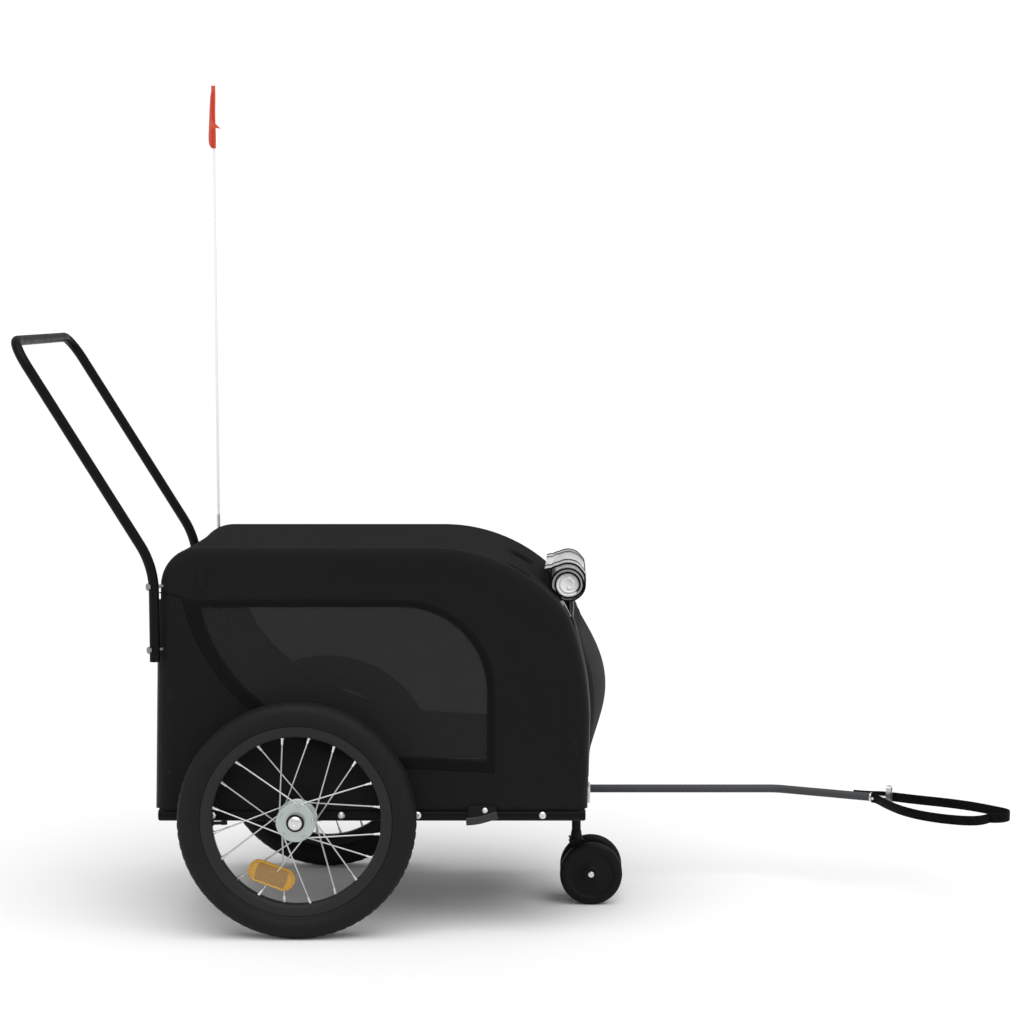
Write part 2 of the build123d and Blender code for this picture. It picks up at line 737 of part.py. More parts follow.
def yoke_edges(grow):
    """Draw the caster's yoke in the side view, grown by a rib's width."""
    collar_r, yoke_r = caster_collar_d / 2 + grow, caster_yoke_r + grow
    steer = Vector(wheel_c[0] - stem_x, wheel_c[1] - caster_collar_low).normalized()
    across = Vector(-steer.Y, steer.X) * yoke_r
    ahead, behind = Vector(*wheel_c) + across, Vector(*wheel_c) - across
    below = Vector(*wheel_c) + steer * yoke_r
    Line((stem_x - collar_r, caster_collar_low), (stem_x + collar_r, caster_collar_low))
    Line((stem_x + collar_r, caster_collar_low), (ahead.X, ahead.Y))
    ThreePointArc((ahead.X, ahead.Y), (below.X, below.Y), (behind.X, behind.Y))
    Line((behind.X, behind.Y), (stem_x - collar_r, caster_collar_low))


with BuildPart() as caster_fork:
    with BuildSketch(Plane.XY.offset(caster_collar_low)):
        with Locations((stem_x, 0)):
            Circle(caster_collar_d / 2)
    with BuildSketch(Plane.XY.offset(caster_collar_high)):
        with Locations((stem_x, 0)):
            Circle(caster_neck_d / 2)
    loft()
    with BuildSketch(Plane.XY.offset(caster_collar_high)):
        with Locations((stem_x, 0)):
            Circle(caster_pin_d / 2)
    extrude(amount=frame_z - caster_collar_high - caster_pin_in)
    with BuildSketch(Plane.XZ.offset(-caster_yoke_w / 2)):
        with BuildLine():
            yoke_edges(0.0)
        make_face()
    extrude(amount=caster_yoke_w)
    for y in (-caster_yoke_w / 2, caster_yoke_w / 2 - caster_hood_w):
        with BuildSketch(Plane.XZ.offset(y)):
            with BuildLine():
                yoke_edges(caster_hood_w)
            make_face()
        extrude(amount=caster_hood_w)
    with BuildSketch(Plane.XZ.offset(-caster_yoke_w)):
        with Locations(wheel_c):
            Circle(caster_axle_d / 2 + run)
    extrude(amount=2 * caster_yoke_w, mode=Mode.SUBTRACT)
save("caster_fork", caster_fork)

caster_axle_len = caster_pitch + caster_wheel_w + 2 * caster_axle_over
with BuildPart() as caster_axle:
    with BuildSketch(Plane.XZ.offset(-caster_axle_len / 2)):
        with Locations(wheel_c):
            Circle(caster_axle_d / 2)
    extrude(amount=caster_axle_len)
save("caster_axle", caster_axle)

for name in ("right", "left"):
    s = side_of(name)
    with BuildPart() as caster_wheel:
        middle = (wheel_c[0], s * caster_pitch / 2, wheel_c[1])
        with BuildSketch(Plane(origin=middle, x_dir=(0, 1, 0), z_dir=(1, 0, 0))):
            with BuildLine():
                face, tread, bore_r = caster_wheel_w / 2, caster_d / 2, caster_axle_d / 2 + seat
                half = [(face, bore_r), (face, caster_boss_r), (face - caster_dish, caster_boss_r),
                        (face - caster_dish, caster_dish_r), (face, caster_dish_r),
                        (face, tread - caster_edge), (face - caster_edge, tread)]
                Polyline(*half, *[(-y, r) for y, r in reversed(half)], close=True)
            make_face()
        revolve(axis=Axis((wheel_c[0], 0, wheel_c[1]), (0, 1, 0)))
    save(f"caster_wheel_{name}", caster_wheel)

# ---------------------------------------------------------------- running wheels and their stub axles
flange_y = hub_flange_gap / 2 + hub_flange_t / 2


def spoke(s, k, r):
    """Spoke k of the wheel on side s, laced from a hub flange to the rim, as a rod of radius r."""
    turn = radians(360 / spoke_count * (k + 0.5))
    side = s * (1 if k % 2 else -1) * hub_flange_gap / 2
    cross = radians(spoke_cross) * (1 if k % 4 in (1, 2) else -1)
    root_r = hub_flange_d / 2 - spoke_root_in
    tip_r = spoke_bed_r - near
    root = Vector(axle_x + root_r * sin(turn + cross), s * track / 2 + side,
                  frame_z + root_r * cos(turn + cross))
    tip = Vector(axle_x + tip_r * sin(turn), s * track / 2 + side * spoke_gather,
                 frame_z + tip_r * cos(turn))
    with BuildPart() as rod:
        with BuildSketch(Plane(origin=root, z_dir=tip - root)):
            RegularPolygon(r, spoke_sides)
        extrude(amount=(tip - root).length)
    return rod.part


hub_half = flange_y + hub_end
bush_end = track / 2 - hub_half - axle_gap
cap_start = track / 2 + hub_half + axle_gap
cap_end = cap_start + axle_cap_t
bead_r = rim_r + tyre_seat
for name in ("right", "left"):
    s = side_of(name)
    wheel_line = Axis((axle_x, 0, frame_z), (0, 1, 0))
    across = Plane(origin=(axle_x, s * track / 2, frame_z), x_dir=(0, 1, 0), z_dir=(1, 0, 0))
    with BuildPart() as axle:
        with BuildSketch(Plane.XZ.offset(-s * rail_y)):
            with Locations((axle_x, frame_z)):
                Circle(axle_shoulder_d / 2)
        extrude(amount=-s * (bush_end - rail_y))
        add(saddles, mode=Mode.SUBTRACT)
        with BuildSketch(Plane(origin=(axle_x, 0, frame_z), x_dir=(0, s, 0), z_dir=(s, 0, 0))):
            with BuildLine():
                Polyline((axle_root_y, 0), (axle_root_y, axle_d / 2), (cap_start, axle_d / 2),
                         (cap_start, axle_cap_d / 2), (cap_end - axle_cap_edge, axle_cap_d / 2),
                         (cap_end, axle_cap_d / 2 - axle_cap_edge), (cap_end, 0), close=True)
            make_face()
        revolve(axis=wheel_line)
    save(f"axle_{name}", axle)

    with BuildPart() as tyre:
        with BuildSketch(across):
            with BuildLine():
                turns = [pi * k / tyre_flats for k in range(tyre_flats + 1)]
                tread = [(tyre_w / 2 * cos(turn), wheel_r - tyre_h / 2 * (1 - sin(turn))) for turn in turns]
                Polyline((rim_w / 2, bead_r), *tread, (-rim_w / 2, bead_r), close=True)
            make_face()
        revolve(axis=wheel_line)
    save(f"tyre_{name}", tyre)

    with BuildPart() as rim:
        with BuildSketch(across):
            with BuildLine():
                half = [(rim_w / 2, bead_r), (rim_w / 2 - rim_draft, rim_r - rim_wall_h),
                        (rim_bed_w / 2, spoke_bed_r)]
                Polyline(*half, *[(-y, r) for y, r in reversed(half)], close=True)
            make_face()
        revolve(axis=wheel_line)
    save(f"rim_{name}", rim)

    with BuildPart() as hub:
        with BuildSketch(across):
            bore_r = axle_d / 2 + run
            with Locations((0, (hub_barrel_d / 2 + bore_r) / 2)):
                Rectangle(2 * hub_half, hub_barrel_d / 2 - bore_r)
            for y in (-hub_flange_gap / 2, hub_flange_gap / 2):
                with Locations((y, (hub_flange_d / 2 + bore_r) / 2)):
                    Rectangle(hub_flange_t, hub_flange_d / 2 - bore_r)
        revolve(axis=wheel_line)
        for k in range(spoke_count):
            add(spoke(s, k, spoke_d / 2))
    save(f"hub_{name}", hub)

    with BuildPart() as wheel_reflector:
        length, height, depth = wheel_reflector_size
        centre = Vector(axle_x + wheel_reflector_at[0], s * (track / 2 + wheel_reflector_out),
                        frame_z + wheel_reflector_at[1])
        turn = radians(wheel_reflector_turn)
        with BuildSketch(Plane(origin=centre, x_dir=(cos(turn), 0, -sin(turn)), z_dir=(0, s, 0))):
            SlotOverall(length, height)
        extrude(amount=depth)
        for k in range(spoke_count):
            add(spoke(s, k, spoke_d / 2 + seat), mode=Mode.SUBTRACT)
    save(f"wheel_reflector_{name}", wheel_reflector)

# ---------------------------------------------------------------- reflectors, side catches, flag
with BuildPart() as front_reflectors:
    for y in (-door_w / 2 + reflector_d / 2, door_w / 2 - reflector_d / 2):
        z = opening_low - reflector_d / 2 - reflector_drop
        with BuildSketch(Plane.YZ.offset(front_x(z + reflector_d / 2) + seat)):
            with Locations((y, z)):
                Circle(reflector_d / 2)
        extrude(amount=reflector_t)
save("front_reflectors", front_reflectors)

with BuildPart() as rear_reflectors:
    rear_reflector_y = (rear_mesh_w + reflector_d) / 2 + rear_reflector_gap
    for y in (-rear_reflector_y, rear_reflector_y):
        with BuildSketch(Plane.YZ.offset(rear_x(rear_reflector_z - reflector_d / 2) - seat)):
            with Locations((y, rear_reflector_z)):
                Circle(reflector_d / 2)
        extrude(amount=-reflector_t)
save("rear_reflectors", rear_reflectors)

for name in ("right", "left"):
    s = side_of(name)
    with BuildPart() as side_catch:
        for high, thick in ((catch_high, catch_t), (catch_low + catch_lip, catch_lip_t)):
            rear, nose = rail_front_x - catch_back, rail_front_x - catch_back + catch_len
            nose_high = min(high + catch_nose_z - catch_low, catch_high)
            belly = (catch_nose_z - catch_low) / 4
            with BuildSketch(Plane.XZ.offset(-s * (half_w + near))):
                with BuildLine():
                    ThreePointArc((rear, catch_low), ((rear + nose) / 2, catch_low + belly),
                                  (nose, catch_nose_z))
                    Line((nose, catch_nose_z), (nose, nose_high))
                    if high == catch_high:
                        Line((nose, nose_high), (rear, high))
                    else:
                        ThreePointArc((nose, nose_high), ((rear + nose) / 2, high + belly), (rear, high))
                    Line((rear, high), (rear, catch_low))
                make_face()
            extrude(amount=-s * thick)
    save(f"side_catch_{name}", side_catch)

pole_y = half_w + near + pole_d / 2 + pole_gap
with BuildPart() as flag_pole:
    with BuildSketch(Plane.XY.offset(pole_low)):
        with Locations((axle_x + pole_x, pole_y)):
            Circle(pole_d / 2)
    extrude(amount=pole_high - pole_low)
save("flag_pole", flag_pole)

flag_top = pole_high - flag_drop
with BuildPart() as flag:
    turn = radians(flag_swing)
    flag_plane = Plane(origin=(axle_x + pole_x, pole_y, 0), x_dir=(-sin(turn), cos(turn), 0),
                       z_dir=(cos(turn), sin(turn), 0))
    with BuildSketch(flag_plane.offset(-flag_t / 2)):
        with Locations((-pole_d / 2 - near, 0)):
            Polygon((0, flag_top), (-flag_fly, flag_top - flag_hoist * flag_point),
                    (0, flag_top - flag_hoist), align=None)
    extrude(amount=flag_t)
save("flag", flag)

holder_out = pole_y + pole_d / 2 + holder_wall
with BuildPart() as flag_holders:
    for z in holder_z:
        with BuildSketch(Plane.XY.offset(z)):
            with Locations((axle_x + pole_x, (half_w + holder_out) / 2)):
                Rectangle(holder_w, holder_out - half_w)
            with Locations((axle_x + pole_x, pole_y)):
                Circle(pole_d / 2 + seat, mode=Mode.SUBTRACT)
        extrude(amount=holder_h)
save("flag_holders", flag_holders)
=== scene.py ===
"""Dressed model of a pet bike trailer: a black fabric cabin on a steel tube frame, two
spoked wheels, a twin front caster, a push handle, and a tow arm with its eye and strap."""
import math

import bmesh
import bpy
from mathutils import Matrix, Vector, noise
from mathutils.geometry import delaunay_2d_cdt
from mathutils.kdtree import KDTree


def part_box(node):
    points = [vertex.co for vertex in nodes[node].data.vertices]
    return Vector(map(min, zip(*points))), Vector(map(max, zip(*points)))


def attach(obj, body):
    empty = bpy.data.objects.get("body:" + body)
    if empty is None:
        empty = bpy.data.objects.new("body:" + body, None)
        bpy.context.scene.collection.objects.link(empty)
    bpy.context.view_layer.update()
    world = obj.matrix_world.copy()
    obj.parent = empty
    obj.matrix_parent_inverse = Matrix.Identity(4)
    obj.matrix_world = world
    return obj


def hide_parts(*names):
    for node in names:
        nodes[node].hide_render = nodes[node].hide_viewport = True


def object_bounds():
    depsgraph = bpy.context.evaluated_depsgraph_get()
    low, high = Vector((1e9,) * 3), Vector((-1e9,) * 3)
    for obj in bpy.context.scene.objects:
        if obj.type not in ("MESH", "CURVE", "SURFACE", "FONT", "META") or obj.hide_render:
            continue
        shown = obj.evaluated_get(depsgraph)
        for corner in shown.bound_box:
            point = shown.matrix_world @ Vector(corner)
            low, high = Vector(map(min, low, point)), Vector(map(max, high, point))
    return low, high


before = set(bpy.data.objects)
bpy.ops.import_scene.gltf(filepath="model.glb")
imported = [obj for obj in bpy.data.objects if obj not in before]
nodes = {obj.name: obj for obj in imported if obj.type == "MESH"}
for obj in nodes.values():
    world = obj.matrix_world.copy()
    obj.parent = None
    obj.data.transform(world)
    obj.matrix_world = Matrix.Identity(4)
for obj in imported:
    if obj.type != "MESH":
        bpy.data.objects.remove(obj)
cad_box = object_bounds()
scene = bpy.context.scene

# ---------------------------------------------------------------- Camera
# A long lens on the trailer's right-hand side, about a metre up and tipped down a little,
# so that the roof shows as a narrow band and the far wheel rises behind the near one.
def set_up(name, data, at=(0, 0, 0), turned=(0, 0, 0)):
    """An object put into the scene."""
    made = bpy.data.objects.new(name, data)
    made.location = at
    made.rotation_euler = turned
    scene.collection.objects.link(made)
    return made


camera = bpy.data.cameras.new("camera")
camera.lens = 87.4
camera.sensor_width = 36.0
camera.shift_x = -0.0584
camera.shift_y = 0.0045
camera.clip_end = 200.0
scene.camera = set_up("camera", camera, (0.0794, -4.3522, 1.0642), (math.radians(90 - 4.988), 0, 0))


# ---------------------------------------------------------------- Studio
# A pale matt floor that runs out of sight under an even, soft overhead light, and two
# narrow side softboxes that draw the long highlights on tubes and tyres.
def linear(code, share=1.0):
    """Linear colour of an sRGB hex value, made lighter or darker by a share of its light."""
    parts = [int(code[k:k + 2], 16) / 255 for k in (0, 2, 4)]
    return (*[share * (p / 12.92 if p <= 0.04045 else ((p + 0.055) / 1.055) ** 2.4) for p in parts], 1.0)


def add_node(tree, kind, inputs=None, **settings):
    """A shader node with its settings; each input takes a value, or the node or socket that feeds it."""
    node = tree.nodes.new(kind)
    for name, value in settings.items():
        setattr(node, name, value)
    for name, value in (inputs or {}).items():
        if isinstance(value, bpy.types.Node):
            value = value.outputs[0]
        if isinstance(value, bpy.types.NodeSocket):
            tree.links.new(value, node.inputs[name])
        else:
            node.inputs[name].default_value = value
    return node


def new_finish(name, colour, roughness, metallic=0.0, specular=0.5, ior=1.5):
    """A material with its principled shader set from typical values."""
    finish = bpy.data.materials.new(name)
    finish.use_nodes = True
    shader = finish.node_tree.nodes["Principled BSDF"]
    for socket, value in (("Base Color", linear(colour)), ("Roughness", roughness), ("Metallic", metallic),
                          ("Specular IOR Level", specular), ("IOR", ior)):
        shader.inputs[socket].default_value = value
    return finish, finish.node_tree, shader


def apply_pattern(shader, pattern, raised=None, tones=None, gloss=None, spread=(0.0, 1.0), over=None):
    """Let a pattern raise the surface (strength, depth), tone it (two colours) or vary its gloss."""
    tree = shader.id_data
    if raised:
        height = {"Height": pattern, "Strength": raised[0], "Distance": raised[1]}
        skin = add_node(tree, "ShaderNodeBump", {**height, "Normal": over} if over else height)
        tree.links.new(skin.outputs[0], shader.inputs["Normal"])
    if tones:
        shade = add_node(tree, "ShaderNodeMixRGB", {"Fac": pattern, "Color1": tones[0], "Color2": tones[1]})
        tree.links.new(shade.outputs[0], shader.inputs["Base Color"])
    if gloss:
        wear = add_node(tree, "ShaderNodeMapRange", {"Value": pattern, "To Min": gloss[0], "To Max": gloss[1],
                                                     "From Min": spread[0], "From Max": spread[1]})
        tree.links.new(wear.outputs[0], shader.inputs["Roughness"])


mm = 0.001


def grained_finish(name, colour, roughness, *grains, by="Object", **look):
    """A material with random grains: each has a scale, a detail, and what it raises, tones or dulls.
    The scale counts grains to the metre, or over the whole piece where they are laid by Generated."""
    finish, tree, shader = new_finish(name, colour, roughness, **look)
    for scale, detail, effect in grains:
        inputs = {"Vector": add_node(tree, "ShaderNodeTexCoord").outputs[by], "Scale": scale, "Detail": detail}
        inputs.update({key: effect.pop(key) for key in ("Roughness", "Distortion") if key in effect})
        apply_pattern(shader, add_node(tree, "ShaderNodeTexNoise", inputs), **effect)
    return finish


floor_radius, floor_step = 60.0, 5
floor_mesh = bpy.data.meshes.new("studio_floor")
angles = [math.radians(a) for a in range(0, 360, floor_step)]
rim_points = [(floor_radius * math.cos(a), floor_radius * math.sin(a), cad_box[0].z) for a in angles]
floor_mesh.from_pydata(rim_points, [], [list(range(len(rim_points)))])
set_up("studio_floor", floor_mesh)
floor_mesh.materials.append(grained_finish(                          # faint clouds of tone, 40 m across
    "matt_studio_paint", "f3f3f3", 0.9, (3.0, 2.0, {"tones": (linear("f1f1f1"), linear("f6f6f6"))}),
    by="Generated", specular=0.1))

room = bpy.data.worlds.new("studio_room")
room.use_nodes = True
tree = room.node_tree
tree.nodes.clear()
seen = add_node(tree, "ShaderNodeBackground", {"Color": (1, 1, 1, 1), "Strength": 1.1})
fill_light = add_node(tree, "ShaderNodeBackground", {"Color": (1, 1, 1, 1), "Strength": 0.5})
ray = add_node(tree, "ShaderNodeLightPath")
either = add_node(tree, "ShaderNodeMixShader", {"Fac": ray.outputs["Is Camera Ray"], 1: fill_light, 2: seen})
add_node(tree, "ShaderNodeOutputWorld", {"Surface": either})
scene.world = room
scene.view_settings.view_transform = "Standard"

daylight = bpy.data.lights.new("overhead_soft_light", "SUN")
daylight.energy = 2.3
daylight.angle = math.radians(70)
set_up("overhead_soft_light", daylight, turned=(math.radians(24), math.radians(6), 0))
for name, at, aim in (("front_softbox", (3.6, -2.6, 1.5), (-0.2, 0.0, 0.4)),
                      ("rear_softbox", (-3.8, -2.4, 1.4), (-0.4, 0.0, 0.3))):
    lamp = bpy.data.lights.new(name, "AREA")
    lamp.shape = "RECTANGLE"
    lamp.size, lamp.size_y = 0.8, 2.6
    lamp.energy = 16
    set_up(name, lamp, at, (Vector(aim) - Vector(at)).to_track_quat("-Z", "Y").to_euler())


# ---------------------------------------------------------------- Frame tubes
# Welded round steel tube: two bottom rails, cross tubes, the cabin's arches and the roof
# bars, and the bent push handle. All satin black powder coat, baked on after welding.
def powder_coat(name, colour, roughness, orange_peel):
    """Baked powder coat: an even satin skin with a fine orange-peel ripple about 1.5 mm across."""
    worn = {"gloss": (roughness - 0.06, roughness + 0.12), "spread": (0.35, 0.75), "Roughness": 0.7}
    return grained_finish(name, colour, roughness, (1 / (1.5 * mm), 2.0, {"raised": (orange_peel, 0.2 * mm)}),
                          (45.0, 6.0, worn), specular=0.1)


def dress(finish, *names):
    """Give CAD nodes, whose shapes are right as they are, their real finish."""
    for name in names:
        for slot in nodes[name].material_slots:
            slot.material = finish


black_coat = powder_coat("black_powder_coat", "0a0a0b", 0.42, 0.35)
dress(black_coat, "rail_right", "rail_left", "cross_tube_rear", "cross_tube_axle", "cross_tube_front",
      "arch_right", "arch_left", "roof_bars", "handle", "caster_socket")


# ---------------------------------------------------------------- Cabin side panels
# Woven 600-denier polyester with a coated back, cut to the side view, bent round the
# arch tubes and sewn to the roof, rear and front panels. The window is cut out of each.
both_sides = (("right", -1), ("left", 1))
tyre_low, tyre_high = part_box("tyre_right")
axle = (tyre_low + tyre_high) / 2
side_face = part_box("side_panel_left")[1].y
roof_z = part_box("roof_panel")[1].z
hem_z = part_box("side_panel_right")[0].z
tube_bend = 20 * mm          # how far in the cloth starts to bend round the arch tube
bend_rows = 6
rear_lean, front_turn = 1.3, 91.5
rear_r, shoulder_r, brow_r, nose_r = 0.065, 0.290, 0.120, 0.468
shoulder_end, brow_end = 46, 70


def on_arc(centre, radius, turn):
    """Side-view point on an arc whose normal has turned that many degrees forward from upright."""
    turn = math.radians(turn)
    return (centre[0] + radius * math.sin(turn), centre[1] + radius * math.cos(turn))


rear_c = (axle.x - 0.1646, roof_z - rear_r)
shoulder_c = (axle.x + 0.2234, roof_z - shoulder_r)
brow_c = on_arc(on_arc(shoulder_c, shoulder_r, shoulder_end), -brow_r, shoulder_end)
nose_c = on_arc(on_arc(brow_c, brow_r, brow_end), -nose_r, brow_end)


def between(a, b, share):
    """The point at a share of the way from a to b."""
    return tuple(p + (q - p) * share for p, q in zip(a, b))


def run_to(a, b, count):
    """Even stations from a towards b, without b."""
    return [between(a, b, k / count) for k in range(count)]


def run_between(a, b, step):
    """Even stations about a step apart from a towards b, without b."""
    return run_to(a, b, max(1, round(math.dist(a, b) / step)))


def cabin_outline(step):
    """Stations round the cabin's side view: x, z, and the turn of the outward normal."""
    corner = on_arc(rear_c, rear_r, rear_lean - 90)
    rear_foot = (corner[0] - (corner[1] - hem_z) * math.tan(math.radians(rear_lean)), hem_z)
    made = [(x, z, rear_lean - 90) for x, z in run_between(rear_foot, corner, step)]
    for centre, radius, first, last in (
            (rear_c, rear_r, rear_lean - 90, 0), (shoulder_c, shoulder_r, 0, shoulder_end),
            (brow_c, brow_r, shoulder_end, brow_end), (nose_c, nose_r, brow_end, front_turn)):
        if centre is shoulder_c:
            made += [(x, z, 0.0) for x, z in run_between((rear_c[0], roof_z), (shoulder_c[0], roof_z), step)]
        count = max(2, round(math.radians(last - first) * radius / step))
        turns = [first + (last - first) * k / count for k in range(count)]
        made += [(*on_arc(centre, radius, turn), turn) for turn in turns]
    chin = on_arc(nose_c, nose_r, front_turn)
    front_foot = (chin[0] - (chin[1] - hem_z) * math.tan(math.radians(front_turn - 90)), hem_z)
    made += [(x, z, front_turn) for x, z in run_between(chin, front_foot, step)]
    return made + [(*front_foot, front_turn)]


def inset(station, depth):
    """A station's side-view point, moved inward from the cabin's face."""
    return on_arc(station, -depth, station[2])


def inside(point, loop):
    """Whether a flat point lies within a closed loop."""
    x, y = point
    odd = False
    for (ax, ay), (bx, by) in zip(loop, loop[1:] + loop[:1]):
        if (ay > y) != (by > y) and x < (bx - ax) * (y - ay) / (by - ay) + ax:
            odd = not odd
    return odd


def reach_from(loop):
    """A function that gives a flat point's distance from the nearest point of a loop."""
    nearest = KDTree(len(loop))
    for k, p in enumerate(loop):
        nearest.insert((*p, 0), k)
    nearest.balance()
    return lambda p: nearest.find((*p, 0))[2]


def fill_outline(border, holes, spacing):
    """Flat points and triangles of cloth over an outline with holes, on an even grid of that spacing."""
    def on_cloth(p):
        return inside(p, border) and not any(inside(p, hole) for hole in holes)

    points, edges = [], []
    for loop in (border, *holes):
        start = len(points)
        points += loop
        edges += [(start + k, start + (k + 1) % len(loop)) for k in range(len(loop))]
    reach = reach_from(points)
    low, high = ([pick(p[k] for p in border) for k in (0, 1)] for pick in (min, max))
    row_height = spacing * 0.866
    for row in range(int((high[1] - low[1]) / row_height) + 1):
        for column in range(int((high[0] - low[0]) / spacing) + 2):
            p = (low[0] + (column + 0.5 * (row % 2)) * spacing, low[1] + row * row_height)
            if on_cloth(p) and reach(p) > 0.55 * spacing:
                points.append(p)
    cut = delaunay_2d_cdt([Vector(p) for p in points], edges, [], 0, 1e-7)
    flat = [tuple(p) for p in cut[0]]
    faces = [tuple(face) for face in cut[2]
             if on_cloth([sum(flat[v][k] for v in face) / len(face) for k in (0, 1)])]
    return flat, faces


def skin_over(rows, around=False, ring=False, ends=()):
    """Points and faces of a skin over rows of points. Around closes each row, ring joins the last row
    to the first, and ends names the rows that a flat face closes."""
    count, width = len(rows), len(rows[0])
    faces = [(k * width + j, k * width + (j + 1) % width, (k + 1) % count * width + (j + 1) % width,
              (k + 1) % count * width + j)
             for k in range(count if ring else count - 1) for j in range(width if around else width - 1)]
    faces += [tuple(row % count * width + j for j in range(width)) for row in ends]
    return [p for row in rows for p in row], faces


def gather(*parts):
    """Several parts' points and faces joined for one mesh."""
    points, faces = [], []
    for more_points, more_faces in parts:
        start = len(points)
        points.extend(more_points)
        faces.extend(tuple(v + start for v in face) for face in more_faces)
    return points, faces


def make_piece(name, points, faces, finish, body="root", slot=None, stands_for=(), crease=35):
    """A welded, smooth-shaded mesh that rides on a CAD body and may stand for CAD nodes."""
    mesh = bpy.data.meshes.new(name)
    mesh.from_pydata([tuple(p) for p in points], [], faces)
    weld = bmesh.new()
    weld.from_mesh(mesh)
    bmesh.ops.remove_doubles(weld, verts=weld.verts, dist=0.02 * mm)
    bmesh.ops.recalc_face_normals(weld, faces=weld.faces)
    weld.to_mesh(mesh)
    weld.free()
    mesh.shade_smooth()
    mesh.set_sharp_from_angle(angle=math.radians(crease))
    mesh.materials.append(finish)
    made = set_up(name, mesh)
    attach(made, body)
    if stands_for:
        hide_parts(*stands_for)
    return made


def thicken(piece, thickness, side=-1.0):
    """Give cloth its thickness, inward from the face that was drawn."""
    shell = piece.modifiers.new("thickness", "SOLIDIFY")
    shell.thickness = thickness
    shell.offset = side


def woven_cloth(name, colour, thread, roughness=0.88, specular=0.12, fuzz=0.15):
    """Plain-woven polyester: matt, with a faint sheen of fibres, threads crossing over and under."""
    finish, tree, shader = new_finish(name, colour, roughness, specular=specular)
    shader.inputs["Sheen Weight"].default_value = fuzz
    shader.inputs["Sheen Roughness"].default_value = 0.5
    shader.inputs["Sheen Tint"].default_value = linear("9a9a9e")
    place = add_node(tree, "ShaderNodeTexCoord").outputs["Object"]
    threads = add_node(tree, "ShaderNodeVectorMath", {0: place, 1: (math.pi / thread,) * 3},
                       operation="MULTIPLY")
    wave = add_node(tree, "ShaderNodeVectorMath", {0: threads}, operation="SINE")
    along = add_node(tree, "ShaderNodeSeparateXYZ", {0: wave}).outputs
    crossings = [add_node(tree, "ShaderNodeMath", {0: along[a], 1: along[b]}, operation="MULTIPLY")
                 for a, b in ((0, 1), (1, 2), (2, 0))]
    pair = add_node(tree, "ShaderNodeMath", {0: crossings[0], 1: crossings[1]}, operation="ADD")
    weave = add_node(tree, "ShaderNodeMath", {0: pair, 1: crossings[2]}, operation="ADD")
    slack = add_node(tree, "ShaderNodeTexNoise", {"Vector": place, "Scale": 16.0, "Detail": 3.0})
    soft = add_node(tree, "ShaderNodeBump", {"Height": slack, "Strength": 0.25, "Distance": 4 * mm})
    apply_pattern(shader, weave, raised=(0.35, thread / 4), over=soft)
    dust = add_node(tree, "ShaderNodeTexNoise", {"Vector": place, "Scale": 7.0, "Detail": 5.0,
                                                 "Roughness": 0.6})
    worn = add_node(tree, "ShaderNodeMixRGB", {"Fac": dust, "Color1": linear(colour, 0.86),
                                               "Color2": linear(colour, 1.14)})
    lit = add_node(tree, "ShaderNodeMapRange", {"Value": weave, "From Min": -1.5, "From Max": 1.5,
                                                "To Min": 0.8, "To Max": 1.2})
    thread_shade = add_node(tree, "ShaderNodeVectorMath", {0: worn, "Scale": lit}, operation="SCALE")
    tree.links.new(thread_shade.outputs[0], shader.inputs["Base Color"])
    return finish


cabin_cloth = woven_cloth("black_polyester", "171718", 0.9 * mm, specular=0.08, fuzz=0.08)
# The roof's copy of the same cloth is painted a little lighter (1e1e1f against 171718), for the light that
# falls on its top, and has less gloss and sheen.
roof_cloth = woven_cloth("black_polyester_painted_lit_roof", "1e1e1f", 0.9 * mm, roughness=0.95, specular=0.03, fuzz=0.03)
stations = cabin_outline(8 * mm)


def at_axle(*points):
    """Side-view points given from the axle, in millimetres."""
    made = [(axle.x + x * mm, z * mm) for x, z in points]
    return made if len(made) > 1 else made[0]


def arc_points(centre, radius, first, last, count):
    """Points along an arc from one angle to another, in degrees, both ends included."""
    angles = [math.radians(first + (last - first) * k / count) for k in range(count + 1)]
    return [(centre[0] + radius * math.cos(a), centre[1] + radius * math.sin(a)) for a in angles]


def swept_arc(centre, start, end, count, turn_way):
    """Points along an arc about a centre from start to end, turning +1 or -1, without the end."""
    first, last = (math.degrees(math.atan2(p[1] - centre[1], p[0] - centre[0])) for p in (start, end))
    while (last - first) * turn_way < 0:
        last += turn_way * 360
    return arc_points(centre, math.dist(centre, start), first, last, count)[:-1]


window_top, window_front, window_bend = 553.5, 316.9, 142.0


